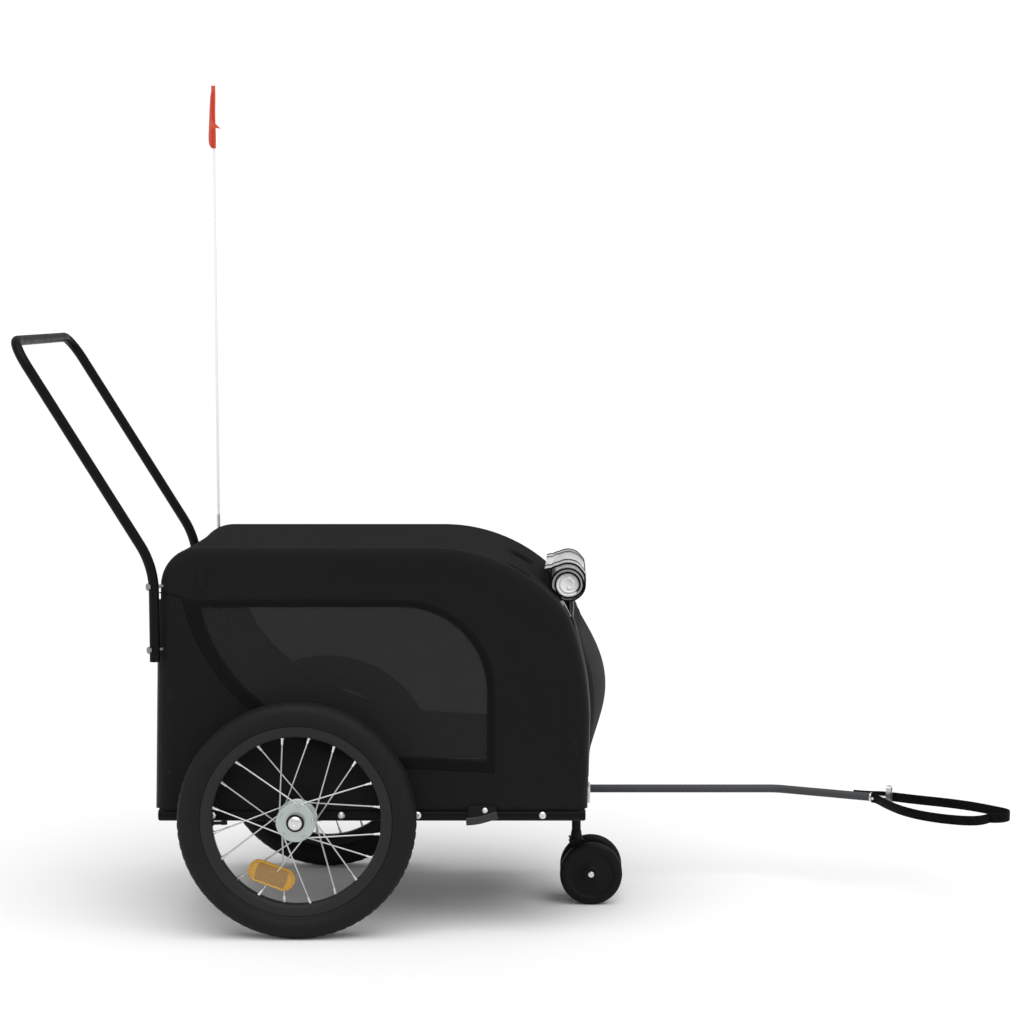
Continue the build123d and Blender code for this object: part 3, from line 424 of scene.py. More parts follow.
def window_outline(rear_w, sill_w, edge_w):
    """The side window's outline from its rear top corner, grown by those widths in millimetres."""
    rear_top, rear_mid, rear_low = at_axle(
        (-161.6 - rear_w, window_top + edge_w), (-128.6 - 0.75 * rear_w, 469.4 - 0.2 * rear_w),
        (-55.0 - 0.75 * rear_w, 390.0 - 0.35 * rear_w))
    sill_rear, sill_front = at_axle((158.4, 302.5 - sill_w), (window_front + edge_w, 293.5 - sill_w))
    bend = at_axle((window_front - window_bend, window_top - window_bend))
    (ax, ay), (bx, by), (cx, cy) = rear_top, rear_mid, rear_low
    d = 2 * (ax * (by - cy) + bx * (cy - ay) + cx * (ay - by))
    squares = [x * x + y * y for x, y in (rear_top, rear_mid, rear_low)]
    centre = ((squares[0] * (by - cy) + squares[1] * (cy - ay) + squares[2] * (ay - by)) / d,
              (squares[0] * (cx - bx) + squares[1] * (ax - cx) + squares[2] * (bx - ax)) / d)
    out = (Vector(rear_low) - Vector(centre)).normalized()
    chord = Vector(sill_rear) - Vector(rear_low)
    reach = chord.length_squared / (2 * out.dot(chord))
    high_front = (sill_front[0], bend[1])
    high_end = (bend[0], bend[1] + (window_bend + edge_w) * mm)
    return (swept_arc(centre, rear_top, rear_low, 26, 1)
            + swept_arc(Vector(rear_low) + out * reach, rear_low, sill_rear, 20, 1 if reach < 0 else -1)
            + run_to(sill_rear, sill_front, 14) + run_to(sill_front, high_front, 12)
            + swept_arc(bend, high_front, high_end, 22, 1) + run_to(high_end, rear_top, 30))


# Soft folds in the sides: from, to, width in metres and depth in millimetres.
folds = (((330, 560), (398, 508), 0.006, 1.6), ((352, 500), (392, 486), 0.007, -1.4),
         ((-210, 560), (-160, 330), 0.012, 1.2), ((340, 470), (420, 330), 0.016, 1.3),
         ((60, 610), (250, 590), 0.014, 0.9))


def slack_in(x, z):
    """How far the stretched cloth of a side sinks between the tubes, with its soft folds."""
    broad, fine = noise.noise(Vector((x * 7, z * 9, 1.7))), noise.noise(Vector((x * 21, z * 17, 4.2)))
    sunk = 1.1 + broad * 0.9 + fine * 0.35
    p = Vector((x, z))
    for first, last, width, depth in folds:
        a, b = (Vector(end) for end in at_axle(first, last))
        along = max(0.0, min(1.0, (p - a).dot(b - a) / (b - a).length_squared))
        away = (p - a.lerp(b, along)).length
        sunk += depth * math.exp(-(away / width) ** 2) * math.sin(math.pi * (0.15 + 0.7 * along))
    return sunk * mm


def eased(share):
    """Ease a share of 0 or more towards 1, so that cloth leaves its seam at a slope and flattens out."""
    share = min(1.0, share)
    return share * (2 - share)


window = window_outline(0, 0, 0)
for name, s in both_sides:
    border = [inset(p, tube_bend) for p in stations]
    flat, faces = fill_outline(border, [window], 9 * mm)
    reach = reach_from(border + window)
    points = [(x, s * (side_face - slack_in(x, z) * eased(reach((x, z)) / 0.04)), z) for x, z in flat]
    bend = []
    for a in (math.pi / 2 * row / bend_rows for row in range(bend_rows + 1)):
        line = [inset(station, tube_bend * (1 - math.sin(a))) for station in stations]
        bend.append([(x, s * (side_face - tube_bend * (1 - math.cos(a))), z) for x, z in line])
    side_panel = make_piece(f"side_panel_cloth_{name}", *gather((points, faces), skin_over(bend)),
                            cabin_cloth, slot="cabin_fabric", stands_for=[f"side_panel_{name}"])
    thicken(side_panel, 1.2 * mm)


# ---------------------------------------------------------------- Side windows
# Black polyester net, knitted with fine round holes, that dims what is behind it, bound
# in with a broad folded tape which is stitched along both of its edges.
def knitted_net(name, colour, pitch, hole_alpha, yarn_alpha, specular=0.15, fuzz=0.1):
    """Knitted net: matt yarn round staggered rows of small holes. Each hole is painted darker, as the shade
    seen in it, and a thin net lets light through: finer than the eye resolves, so each is a soft dot with no
    sharp edge."""
    finish, tree, shader = new_finish(name, colour, 0.8, specular=specular)
    shader.inputs["Sheen Weight"].default_value = fuzz
    place = add_node(tree, "ShaderNodeTexCoord").outputs["UV"]
    count = add_node(tree, "ShaderNodeVectorMath", {0: place, 1: (1 / pitch,) * 3}, operation="MULTIPLY")
    split = add_node(tree, "ShaderNodeSeparateXYZ", {0: count}).outputs
    row = add_node(tree, "ShaderNodeMath", {0: split[1]}, operation="FLOOR")
    shift = add_node(tree, "ShaderNodeMath", {0: row, 1: 0.5}, operation="MULTIPLY")
    across = add_node(tree, "ShaderNodeMath", {0: split[0], 1: shift}, operation="ADD")
    u = add_node(tree, "ShaderNodeMath", {0: across}, operation="FRACT")
    v = add_node(tree, "ShaderNodeMath", {0: split[1]}, operation="FRACT")
    cell = add_node(tree, "ShaderNodeCombineXYZ", {0: u, 1: v})
    away = add_node(tree, "ShaderNodeVectorMath", {0: cell, 1: (0.5, 0.5, 0.0)}, operation="DISTANCE")
    away = away.outputs["Value"]
    yarn = add_node(tree, "ShaderNodeMapRange", {"Value": away, "From Min": 0.15, "From Max": 0.5,
                                                 "To Min": hole_alpha, "To Max": yarn_alpha})
    tree.links.new(yarn.outputs[0], shader.inputs["Alpha"])
    apply_pattern(shader, away, raised=(0.5, 0.3 * pitch))
    lint = add_node(tree, "ShaderNodeTexNoise", {"Vector": place, "Scale": 9.0, "Detail": 4.0})
    shade = add_node(tree, "ShaderNodeMixRGB", {"Fac": lint, "Color1": linear(colour, 0.85),
                                                "Color2": linear(colour, 1.15)})
    # Painted shade: the yarn's colour darkens towards the middle of each hole.
    deep = add_node(tree, "ShaderNodeMapRange", {"Value": away, "From Min": 0.1, "From Max": 0.45,
                                                 "To Min": 0.55, "To Max": 1.05})
    hole_shaded_colour = add_node(tree, "ShaderNodeVectorMath", {0: shade, "Scale": deep}, operation="SCALE")
    tree.links.new(hole_shaded_colour.outputs[0], shader.inputs["Base Color"])
    return finish


def lay_uv(piece, flat):
    """Unwrap a piece of cloth on its own cut, in metres."""
    layer = piece.data.uv_layers.new(name="cut")
    for loop in piece.data.loops:
        layer.data[loop.index].uv = flat(piece.data.vertices[loop.vertex_index].co)


def facing(out, point):
    """The outward direction at a point, from one direction or from a function that gives it."""
    return Vector(out(point) if callable(out) else out).normalized()


def sew(path, out, pitch=4.2 * mm, length=3.0 * mm, closed=False):
    """Points and faces of a row of lock stitches along a path; out is the cloth's outward direction."""
    points, faces = [], []
    thread = 0.7 * mm
    carried = 0.0
    for a, b in zip(path, path[1:] + (path[:1] if closed else [])):
        a, b = Vector(a), Vector(b)
        run = (b - a).length
        way = (b - a).normalized() if run > 0 else Vector((1, 0, 0))
        while carried < run:
            c = a + way * carried
            up = facing(out, c)
            over = way.cross(up) * thread / 2
            start = len(points)
            points += [c - way * length / 2 - up * thread * 0.2, c + way * length / 2 - up * thread * 0.2,
                       c + over, c - over, c + up * thread * 0.55, c - up * thread * 0.5]
            faces += [(start + p, start + q, start + tip) for p, q, tip in
                      ((0, 2, 4), (2, 1, 4), (1, 3, 4), (3, 0, 4), (2, 0, 5), (1, 2, 5), (3, 1, 5),
                       (0, 3, 5))]
            carried += pitch
        carried -= run
    return points, faces


# Grosgrain binding tape: fine ribs across its width, duller and blacker than the cloth.
tape, tree, shader = new_finish("black_grosgrain_tape", "0f0f10", 0.92, specular=0.08)
place = add_node(tree, "ShaderNodeTexCoord").outputs["Object"]
ribs = add_node(tree, "ShaderNodeTexWave", {"Vector": place, "Scale": 1 / (1.2 * mm) / 20, "Distortion": 1.0,
                                            "Detail": 2.0}, wave_type="BANDS", bands_direction="DIAGONAL")
lint = add_node(tree, "ShaderNodeTexNoise", {"Vector": place, "Scale": 60.0, "Detail": 3.0})
apply_pattern(shader, ribs, raised=(0.4, 0.2 * mm))
apply_pattern(shader, lint, tones=(linear("0f0f10", 0.8), linear("0f0f10", 1.25)))
# Bonded sewing thread, twisted, with a slight shine.
sewing, tree, shader = new_finish("black_bonded_thread", "202022", 0.6, specular=0.15)
twist = add_node(tree, "ShaderNodeTexWave", {"Scale": 60.0, "Distortion": 1.0})
apply_pattern(shader, twist, raised=(0.3, 0.1 * mm))
window_net = knitted_net("black_knitted_net", "1b1b1c", 1.0 * mm, 0.86, 0.93)
net_size, net_spacing = (0.492, 0.268), 11 * mm
tape_outer = window_outline(30, 20, 12)
tape_rows = ((0.0, 0.0), (0.05, 0.7), (0.15, 1.15), (0.5, 1.35), (0.85, 1.15), (0.96, 0.6), (1.0, -0.4))


def across_tape(share, y):
    """The line round the window at a share of the tape's width from its outer edge."""
    flat_line = [between(a, b, share) for a, b in zip(tape_outer, window)]
    return [(x, y, z) for x, z in flat_line]


for name, s in both_sides:
    flat, faces = fill_outline(window_outline(4, 4, 4), [], net_spacing)
    reach = reach_from(window)
    points = []
    for x, z in flat:
        near_edge = min(1.0, reach((x, z)) / 0.12)
        ripple = 0.8 * near_edge * noise.noise(Vector((x * 9, z * 7, s)))
        points.append((x, s * (side_face - (1.5 + 2.6 * eased(near_edge) + ripple) * mm), z))
    net = make_piece(f"window_net_{name}", points, faces, window_net, slot="mesh",
                     stands_for=[f"window_mesh_{name}"])
    lay_uv(net, lambda co: (co.x, co.z))
    rows = [across_tape(share, s * (side_face + (lift - 0.3) * mm)) for share, lift in tape_rows]
    binding = make_piece(f"window_tape_{name}", *skin_over(rows, around=True), tape, slot="binding",
                         stands_for=[f"window_binding_{name}"])
    thicken(binding, 0.7 * mm)
    rows = [sew(across_tape(share, s * (side_face + 1.0 * mm)), (0, s, 0), closed=True)
            for share in (0.16, 0.84)]
    make_piece(f"window_stitching_{name}", *gather(*rows), sewing, slot="binding")

# The side panel's foot is wrapped over the bottom rail, so that no light shows between them.
rail_low, rail_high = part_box("rail_left")
rail_mid, rail_r = (rail_low + rail_high) / 2, (rail_high.z - rail_low.z) / 2
hem_steps = 37
wrap_turns = (85, 68, 51, 36, 21)
wrap = [on_arc((0, 0), rail_r + 0.3 * mm, a) for a in wrap_turns]
wrap += [on_arc((0, 0), rail_r + 1.1 * mm, a) for a in reversed(wrap_turns)]
for name, s in both_sides:
    steps = [rail_low.x + (rail_high.x - rail_low.x) * k / (hem_steps - 1) for k in range(hem_steps)]
    rows = [[(x, s * (rail_mid.y + out), rail_mid.z + up) for up, out in wrap] for x in steps]
    make_piece(f"side_panel_hem_{name}", *skin_over(rows, around=True, ends=(0, -1)), cabin_cloth,
               slot="cabin_fabric")

# Sewn to each side: a flat tab under the roof's seam, the seam from the rear edge to the
# window's corner. Both are of the cabin's own cloth.
(tab_x, tab_top), (_, tab_foot) = at_axle((-159, 618.5), (-159, 580))
tab_half, tab_rows, seam_half = 6 * mm, 10, 1.1 * mm
seam = at_axle((-229, 577.6), (-220, 576.5), (-210, 574.6), (-200, 572.6), (-190, 569.0))
for name, s in both_sides:
    rows = []
    for k in range(tab_rows + 1):
        ease = (1.0 if 0 < k < tab_rows else 0.2) * mm
        z = tab_top + (tab_foot - tab_top) * k / tab_rows
        rows.append([(tab_x + across * tab_half, s * (side_face + lift * ease), z)
                     for across, lift in ((-1.0, 0.1), (-0.9, 0.9), (0.9, 0.9), (1.0, 0.1))])
    make_piece(f"side_tab_{name}", *skin_over(rows), cabin_cloth, slot="cabin_fabric")
    rows = [sew([(tab_x + u * tab_half, s * (side_face + 1.0 * mm), z) for u in (-0.8, 0, 0.8)], (0, s, 0))
            for z in (tab_top - 2 * mm, tab_foot + 2 * mm)]
    rows.append(sew([(x, s * (side_face + 0.2 * mm), z) for x, z in seam], (0, s, 0)))
    make_piece(f"side_panel_stitching_{name}", *gather(*rows), sewing, slot="cabin_fabric")
    rows = [[(x, s * (side_face + lift * mm), z + off)
             for lift, off in ((0, -seam_half), (0.5, 0), (0, seam_half))] for x, z in seam]
    make_piece(f"side_panel_seam_{name}", *skin_over(rows), tape, slot="binding")


# ---------------------------------------------------------------- Roof, rear and front panels
# The same cloth in one long band over both arches, sewn to the side panels along their
# rounded edges, with the front doorway and the rear vent cut out and bound.
panel_y = side_face - tube_bend
along = [0.0]
for a, b in zip(stations, stations[1:]):
    along.append(along[-1] + math.dist(a[:2], b[:2]))


def on_band(distance, y, lift=0.0):
    """Point of the band at a distance round the side view, lifted off the cloth."""
    distance = max(0.0, min(along[-1], distance))
    past = next((i for i, d in enumerate(along) if d >= distance), len(along) - 1)
    k = max(0, min(len(along) - 2, past - 1))
    share = (distance - along[k]) / (along[k + 1] - along[k])
    x, z, turn = between(stations[k], stations[k + 1], share)
    return Vector((x + lift * math.sin(math.radians(turn)), y, z + lift * math.cos(math.radians(turn))))


def band_distance(height, front):
    """Distance round the side view to where the band is at a height, at the front or the rear."""
    order = range(len(stations) - 1, 0, -1) if front else range(len(stations) - 1)
    step = -1 if front else 1
    for k in order:
        a, b = stations[k][1], stations[k + step][1]
        if min(a, b) <= height <= max(a, b) and a != b:
            return along[k] + (along[k + step] - along[k]) * (height - a) / (b - a)
    return 0.0


def rounded_outline(low, high, low_r, high_r, step, least=3):
    """Outline of a rectangle whose corners are rounded by one radius at its low end, one at its high."""
    points = []
    for r, x, y, first in ((high_r, high[0] - high_r, high[1] - high_r, 0),
                           (low_r, low[0] + low_r, high[1] - low_r, 90),
                           (low_r, low[0] + low_r, low[1] + low_r, 180),
                           (high_r, high[0] - high_r, low[1] + high_r, 270)):
        points += arc_points((x, y), r, first, first + 90, max(least, round(math.pi / 2 * r / step)))
    return [p for a, b in zip(points, points[1:] + points[:1]) for p in run_between(a, b, step)]


door_low_z, door_high_z, door_half = 0.2457, 0.529, 0.180
vent_low, vent_high, vent_half = band_distance(0.250, False), band_distance(0.560, False), 0.170
doorway = rounded_outline((band_distance(door_high_z, True), -door_half),
                          (band_distance(door_low_z, True), door_half), 50 * mm, 4 * mm, 10 * mm)
vent = rounded_outline((vent_low, -vent_half), (vent_high, vent_half), 60 * mm, 60 * mm, 10 * mm)
roof_start = band_distance(rear_c[1], False)
roof_end = band_distance(on_arc(shoulder_c, shoulder_r, shoulder_end)[1], True)
roof_bars_x = (rear_c[0] + 16 * mm, shoulder_c[0] - 16 * mm)


def roof_sag(distance, y):
    """How far the cloth sinks between the arches and the roof bars, with its soft ripples."""
    across = max(0.0, 1 - (y / panel_y) ** 2)
    x = on_band(distance, 0).x
    lying = 1.0 - sum(0.75 * math.exp(-((x - bar) / 0.05) ** 2) for bar in roof_bars_x)
    ripple = noise.noise(Vector((distance * 6, y * 8, 7.7)))
    return (3.0 * across * lying + 0.9 * across * ripple + 0.25) * mm


band_columns = 44
across = [-panel_y + 2 * panel_y * k / band_columns for k in range(band_columns + 1)]
for name, low, high, holes, cloth, slot_name, node in (
        ("rear_panel_cloth", 0.0, roof_start, [vent], cabin_cloth, "cabin_fabric", "rear_panel"),
        ("roof_cloth", roof_start, roof_end, [], roof_cloth, "roof_fabric", "roof_panel"),
        ("front_panel_cloth", roof_end, along[-1], [doorway], cabin_cloth, "cabin_fabric", "front_surround")):
    ends = [low, *[d for d in along if low < d < high], high]
    border = ([(d, -panel_y) for d in ends] + [(high, y) for y in across[1:]]
              + [(d, panel_y) for d in reversed(ends[:-1])] + [(low, y) for y in reversed(across[1:-1])])
    flat, faces = fill_outline(border, holes, 9.5 * mm)
    points = [on_band(d, y, -roof_sag(d, y) if abs(y) < panel_y - mm else 0.0) for d, y in flat]
    panel = make_piece(name, points, faces, cloth, slot=slot_name, stands_for=[node])
    first_face, cabin_middle = panel.data.polygons[0], Vector((axle.x + 0.05, 0, 0.4))
    thicken(panel, 1.2 * mm, -1.0 if first_face.normal.dot(first_face.center - cabin_middle) > 0 else 1.0)


def neighbours(path, k, closed):
    """The points before and after point k of a path, or the point itself at an open end."""
    count = len(path)
    return (Vector(path[k - 1] if closed or k else path[k]),
            Vector(path[(k + 1) % count] if closed or k < count - 1 else path[k]))


def strip_along(path, out, profile, closed=False, around=False, ends=()):
    """A strip that follows a path: each profile point is across the path and off the cloth, in mm."""
    rows = []
    for k, p in enumerate(path):
        a, b = neighbours(path, k, closed)
        up = facing(out, Vector(p))
        side = (b - a).normalized().cross(up).normalized()
        rows.append([Vector(p) + (side * across + up * lift) * mm for across, lift in profile])
    return skin_over(rows, around, closed, ends)


def tube_along(path, radius, sides=8):
    """A round cord or rod along a path, with flat ends."""
    rows = []
    path = [Vector(p) for p in path]
    up = (path[1] - path[0]).orthogonal().normalized()
    for k, p in enumerate(path):
        a, b = neighbours(path, k, False)
        way = (b - a).normalized()
        up = (up - way * up.dot(way)).normalized()
        r = radius(k / (len(path) - 1)) if callable(radius) else radius
        turns = [2 * math.pi * j / sides for j in range(sides)]
        rows.append([p + (up * math.cos(turn) + way.cross(up) * math.sin(turn)) * r for turn in turns])
    return skin_over(rows, around=True, ends=(0, -1))


# ---------------------------------------------------------------- Band seams and tucks
# The band's two long seams are topstitched, and piped with glossy black vinyl cord down the
# front and the rear. Two short tucks take up the roof cloth over the shoulder.
piping_vinyl = grained_finish("black_piping_vinyl", "2c2c2e", 0.34, (
    260.0, 3.0, {"raised": (0.3, 0.4 * mm), "tones": (linear("262628"), linear("343436"))}), specular=0.4)
front_piping = [d for d in along if d >= band_distance(0.56, True)]
rear_piping = [d for d in along if d <= band_distance(0.57, False)]
for name, s in both_sides:
    path = [on_band(d, s * (panel_y - 5 * mm), 0.2 * mm) for d in along]
    make_piece(f"band_stitching_{name}", *sew(path, lambda c: (c.x - axle.x, 0, c.z - 0.35), pitch=4.5 * mm),
               sewing, slot="roof_fabric")
    cords = [tube_along([on_band(d, s * panel_y, thick - 0.9 * mm) for d in part], thick, sides=10)
             for part, thick in ((front_piping, 1.4 * mm), (rear_piping, 2.8 * mm))]
    make_piece(f"seam_piping_{name}", *gather(*cords), piping_vinyl, slot="cabin_fabric")

# Each tuck is a pinched fold that lies over on the band: its lip, and under it a strip of black tape that is
# painted shadow, standing for the shade below the lip.
lip_profile = ((-1.0, 0.1), (-0.5, 0.9), (0.0, 1.0), (0.28, 0.65), (0.3, 0.2))
tuck_shadow_profile = ((0.3, 0.25), (0.65, 0.35), (1.0, 0.1))
tuck_steps, tuck_half, tuck_skew, tuck_x = 12, 24 * mm, 3 * mm, 365 * mm


def cloth_tuck(y, width, profile):
    """One part of a tuck, at its place across the roof."""
    middle = next(d for d, (x, _, _) in zip(along, stations) if d > roof_start and x > axle.x + tuck_x)
    rows = []
    for k in range(tuck_steps + 1):
        share = k / tuck_steps
        swell = (0.08 + 0.92 * math.sin(math.pi * (0.15 + 0.7 * share)) ** 0.7) * width
        d, skew = middle + tuck_half * (2 * share - 1), tuck_skew * (2 * share - 1)
        rows.append([on_band(d, y + skew - across * swell, lift * swell * 0.25) for across, lift in profile])
    return skin_over(rows)


for name, profile, finish, slot_name in (("roof_tucks", lip_profile, roof_cloth, "roof_fabric"),
                                         ("roof_tuck_painted_shadows", tuck_shadow_profile, tape, "binding")):
    parts = [cloth_tuck(y * mm, width * mm, profile) for y, width in ((30, 13.0), (-200, 10.0))]
    make_piece(name, *gather(*parts), finish, slot=slot_name)


# ---------------------------------------------------------------- Front door
# A bowed panel of padded black net in a cloth border, hinged along its foot on a sewn
# hem and closed by a zip that runs up both sides and over the top.
door_box_low, door_box_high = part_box("front_door")
door_low, door_tall = door_box_low.z + 4 * mm, door_box_high.z - door_box_low.z - 4 * mm
door_side, hem_x = door_box_high.y, door_box_low.x
door_corner = 45 * mm


def front_face(z):
    """X of the cabin's front face at a height."""
    return on_band(band_distance(z, True), 0).x


def on_door(up, across, lift=0.0):
    """Point of the door: up from 0 to 1, across from -1 to 1, bowed forward by its net."""
    z = door_low + door_tall * up
    crown = (2.0 + 30.0 * math.sin(math.pi * min(1.0, max(0.0, (up - 0.11) / 0.89)))) * mm
    return Vector((front_face(z) + crown * max(0, 1 - across * across) ** 0.8 + lift, across * door_side, z))


door_net = knitted_net("padded_black_net", "27272a", 3.2 * mm, 1.0, 1.0, specular=0.06, fuzz=0.03)
top_up, top_half = 1 - door_corner / door_tall, 1 - door_corner / door_side
corner_turns = [math.pi / 2 * k / 12 for k in range(1, 12)]
door_edge = [(top_up * k / 40, 1.0) for k in range(41)]
door_edge += [(top_up + (1 - top_up) * math.sin(a), top_half + (1 - top_half) * math.cos(a))
              for a in corner_turns]
door_border = (door_edge + [(1.0, top_half * (1 - 2 * k / 30)) for k in range(31)]
               + [(u, -v) for u, v in reversed(door_edge)] + [(0.0, -1 + 2 * k / 30) for k in range(1, 30)])
flat, faces = fill_outline([(u * door_tall, v * door_side) for u, v in door_border], [], 8 * mm)
points = [on_door(u / door_tall, v / door_side, -0.8 * mm) for u, v in flat]
door = make_piece("front_door_net", points, faces, door_net, body="front_door", slot="door_mesh",
                  stands_for=["front_door"])
lay_uv(door, lambda co: (co.y, co.z))
thicken(door, 2.4 * mm, 0.0)


def off_door(c):
    """The door's outward direction at a point."""
    return Vector((1.0, c.y * 0.5, (c.z - 0.39) * 0.9))


def door_row(inward, lift):
    """The door's outline drawn in from its edge, lying on the bowed net, in millimetres."""
    rise, narrow = inward * mm / door_tall, 1 - inward * mm / door_side
    return [on_door(u * (1 - 2 * rise) + rise, v * narrow, lift * mm) for u, v in door_border]


border_rows = ((0.5, -2.4), (-1.6, -1.0), (-1.6, 0.8), (1, 1.9), (8, 1.9), (19, 1.6), (21, 0.3))
rows = [door_row(inward, lift) for inward, lift in border_rows]
make_piece("front_door_border", *skin_over(rows, around=True), cabin_cloth, body="front_door",
           slot="cabin_fabric")
zipped_edge = [p for p, (u, v) in zip(door_row(0, 0), door_border) if u > 0.02]
make_piece("front_door_piping", *tube_along([p + Vector((1.0 * mm, 0, 0)) for p in zipped_edge], 2.2 * mm),
           piping_vinyl, body="front_door", slot="binding")
rows = [sew(door_row(inward, 2.0), off_door, closed=True) for inward in (3, 17)]
make_piece("front_door_stitching", *gather(*rows), sewing, body="front_door", slot="binding")
hem = [(hem_x + 4 * mm, -door_side + 2 * door_side * k / 40, door_low) for k in range(41)]
make_piece("front_door_hem", *tube_along(hem, 3.4 * mm, sides=14), cabin_cloth, body="front_door",
           slot="cabin_fabric")


# ---------------------------------------------------------------- Door zip
# A coil zip of black nylon up both sides of the door and over its top: one row of teeth on
# the door, one on the doorway, and two nickel sliders parked above the door's top corners.
coil_nylon = grained_finish("black_zip_nylon", "2a2a2c", 0.38, (500.0, 2.0, {"raised": (0.25, 0.2 * mm)}),
                            by="Generated", specular=0.4)
nickel = grained_finish("nickel_plated_zinc", "c9c9c6", 0.28, (300.0, 3.0, {"gloss": (0.2, 0.42)}),
                        by="Generated", metallic=1.0)


def zip_coil(name, path, body):
    """A zip's coil: one tooth each pitch along a path. Real teeth are 1.3 mm apart, drawn at 3."""
    tooth_ends = [p for a, b in zip(path, path[1:]) for p in run_between(tuple(a), tuple(b), 3 * mm / 2)]
    points, faces = tube_along(tooth_ends, 0.8 * mm, sides=6)
    for k, p in enumerate(points):
        middle = Vector(tooth_ends[k // 6])
        points[k] = middle + (p - middle) * (1.15 if k // 6 % 2 else 0.7)
    make_piece(name, points, faces, coil_nylon, body=body, slot="binding", crease=20)


zip_coil("zip_coil_door", [
    p + Vector((0.6 * mm, math.copysign(2.4 * mm, p.y) if abs(p.y) > door_side - 2 * mm else 0,
                2.6 * mm if p.z > door_low + door_tall - 2 * mm else 0)) for p in zipped_edge], "front_door")


def zip_slider(at, down, out):
    """A zip's slider and its pull, which hangs down over the cloth from a bridge on the slider."""
    down, out = Vector(down).normalized(), Vector(out).normalized()
    side = down.cross(out)
    parts = []
    for half_wide, half_long, low, high in ((3.6, 5.0, -0.6, 1.0), (3.2, 4.6, 1.6, 2.8), (1.4, 3.2, 1.0, 1.6),
                                            (0.9, 2.6, 2.8, 4.4)):
        corners = [(u * half_wide, v * half_long * (0.75 if u * v > 0 else 1))
                   for u, v in ((-1, -1), (1, -1), (1, 1), (-1, 1))]
        rows = [[at + (side * u + down * v + out * w) * mm for u, v in corners] for w in (low, high)]
        parts.append(skin_over(rows, around=True, ends=(0, -1)))
    half_pull = ((3.0, 0.0), (3.4, 5.0), (2.2, 9.0), (1.3, 12.0), (1.2, 22.0), (1.9, 25.0), (1.2, 27.5))
    ring = [*half_pull, *[(-u, v) for u, v in reversed(half_pull)]]
    rows = [[at + (side * u + down * (v - 1) + out * (lift - v * 0.06)) * mm for u, v in ring]
            for lift in (3.4, 4.6)]
    return gather(*parts, skin_over(rows, around=True, ends=(0, -1)))


# The doorway's tape is folded over its edge, with a wide facing behind the door.
edge_profile = ((-15, -5.5), (-6, -4.5), (-2.6, -1), (-2, 0.9), (0, 1.5), (7, 1.4), (9, 0.9), (9.6, 0))
way_path = [on_band(d, y, 0.4 * mm) for d, y in doorway]
make_piece("doorway_tape", *strip_along(way_path, (1, 0, 0.2), edge_profile, closed=True), cabin_cloth,
           slot="cabin_fabric")
way_coil = [on_band(d, y, 1.5 * mm) for d, y in doorway if d < band_distance(door_low_z + 8 * mm, True)]
way_coil = [p - Vector((0, math.copysign(0.9 * mm, p.y) if abs(p.y) > door_half - 2 * mm else 0, 0))
            for p in way_coil]
turn_at = max(range(len(way_coil) - 1), key=lambda k: (way_coil[k + 1] - way_coil[k]).length)
zip_coil("zip_coil_doorway", way_coil[turn_at + 1:] + way_coil[:turn_at + 1], "root")
sliders = []
for s in (-1, 1):
    at, below = (on_band(band_distance(z, True), s * 190 * mm, 1.2 * mm) for z in (0.553, 0.525))
    sliders.append(zip_slider(at, below - at, (0.8, 0, 0.6)))
make_piece("door_zip_sliders", *gather(*sliders), nickel, slot="bolt_zinc", crease=25)


# ---------------------------------------------------------------- Rear vent
# The same net as the side windows', bowed back a little, sewn into the rear panel under a
# folded tape with two rows of stitches.
vent_mid = sum(d for d, _ in vent) / len(vent)
flat, faces = fill_outline(vent, [], 9 * mm)
points = []
for d, y in flat:
    up = max(0.0, min(1.0, (d - vent_low) / (vent_high - vent_low)))
    crown = 12 * math.sin(math.pi * up) * max(0.0, 1 - (y / vent_half) ** 2)
    points.append(on_band(d, y, (crown - 1.0) * mm))
vent_net = make_piece("rear_vent_net", points, faces, window_net, slot="mesh", stands_for=["rear_mesh"])
lay_uv(vent_net, lambda co: (co.y, co.z))
vent_path = [on_band(d, y, 0.4 * mm) for d, y in vent]
make_piece("rear_vent_tape", *strip_along(vent_path, (-1, 0, 0), edge_profile, closed=True), tape,
           slot="binding")


def grown(value, middle, by):
    """A measure moved away from the middle, less so near it."""
    return value + by * math.copysign(min(1, abs(value - middle) / 0.1), value - middle)


rows = []
for by in (1.5 * mm, 7.5 * mm):
    path = [on_band(grown(d, vent_mid, by), grown(y, 0, by), 2.0 * mm) for d, y in vent]
    rows.append(sew(path, (-1, 0, 0), closed=True))
make_piece("rear_vent_stitching", *gather(*rows), sewing, slot="binding")


# ---------------------------------------------------------------- Rolled rain cover
# Clear soft vinyl with black bound edges, sewn under the roof's front edge, rolled up
# from its foot and held by two narrow elastic straps.
def clear_vinyl(name, alpha):
    """Clear soft vinyl in many layers: milky where it is rolled, glossy, with faint creases."""
    creases = {"raised": (0.5, 4 * mm), "tones": (linear("d2d4d5"), linear("fbfbfb")), "Distortion": 1.2}
    finish = grained_finish(name, "dfe1e2", 0.16, (34.0, 3.0, creases), specular=0.6, ior=1.53)
    finish.node_tree.nodes["Principled BSDF"].inputs["Alpha"].default_value = alpha
    return finish


vinyl = clear_vinyl("clear_soft_vinyl", 0.86)
layered_vinyl = clear_vinyl("layered_soft_vinyl", 1.0)
roll_low, roll_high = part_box("rolled_cover")
roll_half = roll_high.y
roll_c = (roll_low + roll_high) / 2 - Vector((2.7 * mm, 0, 6.0 * mm))
roll_c.y = 0
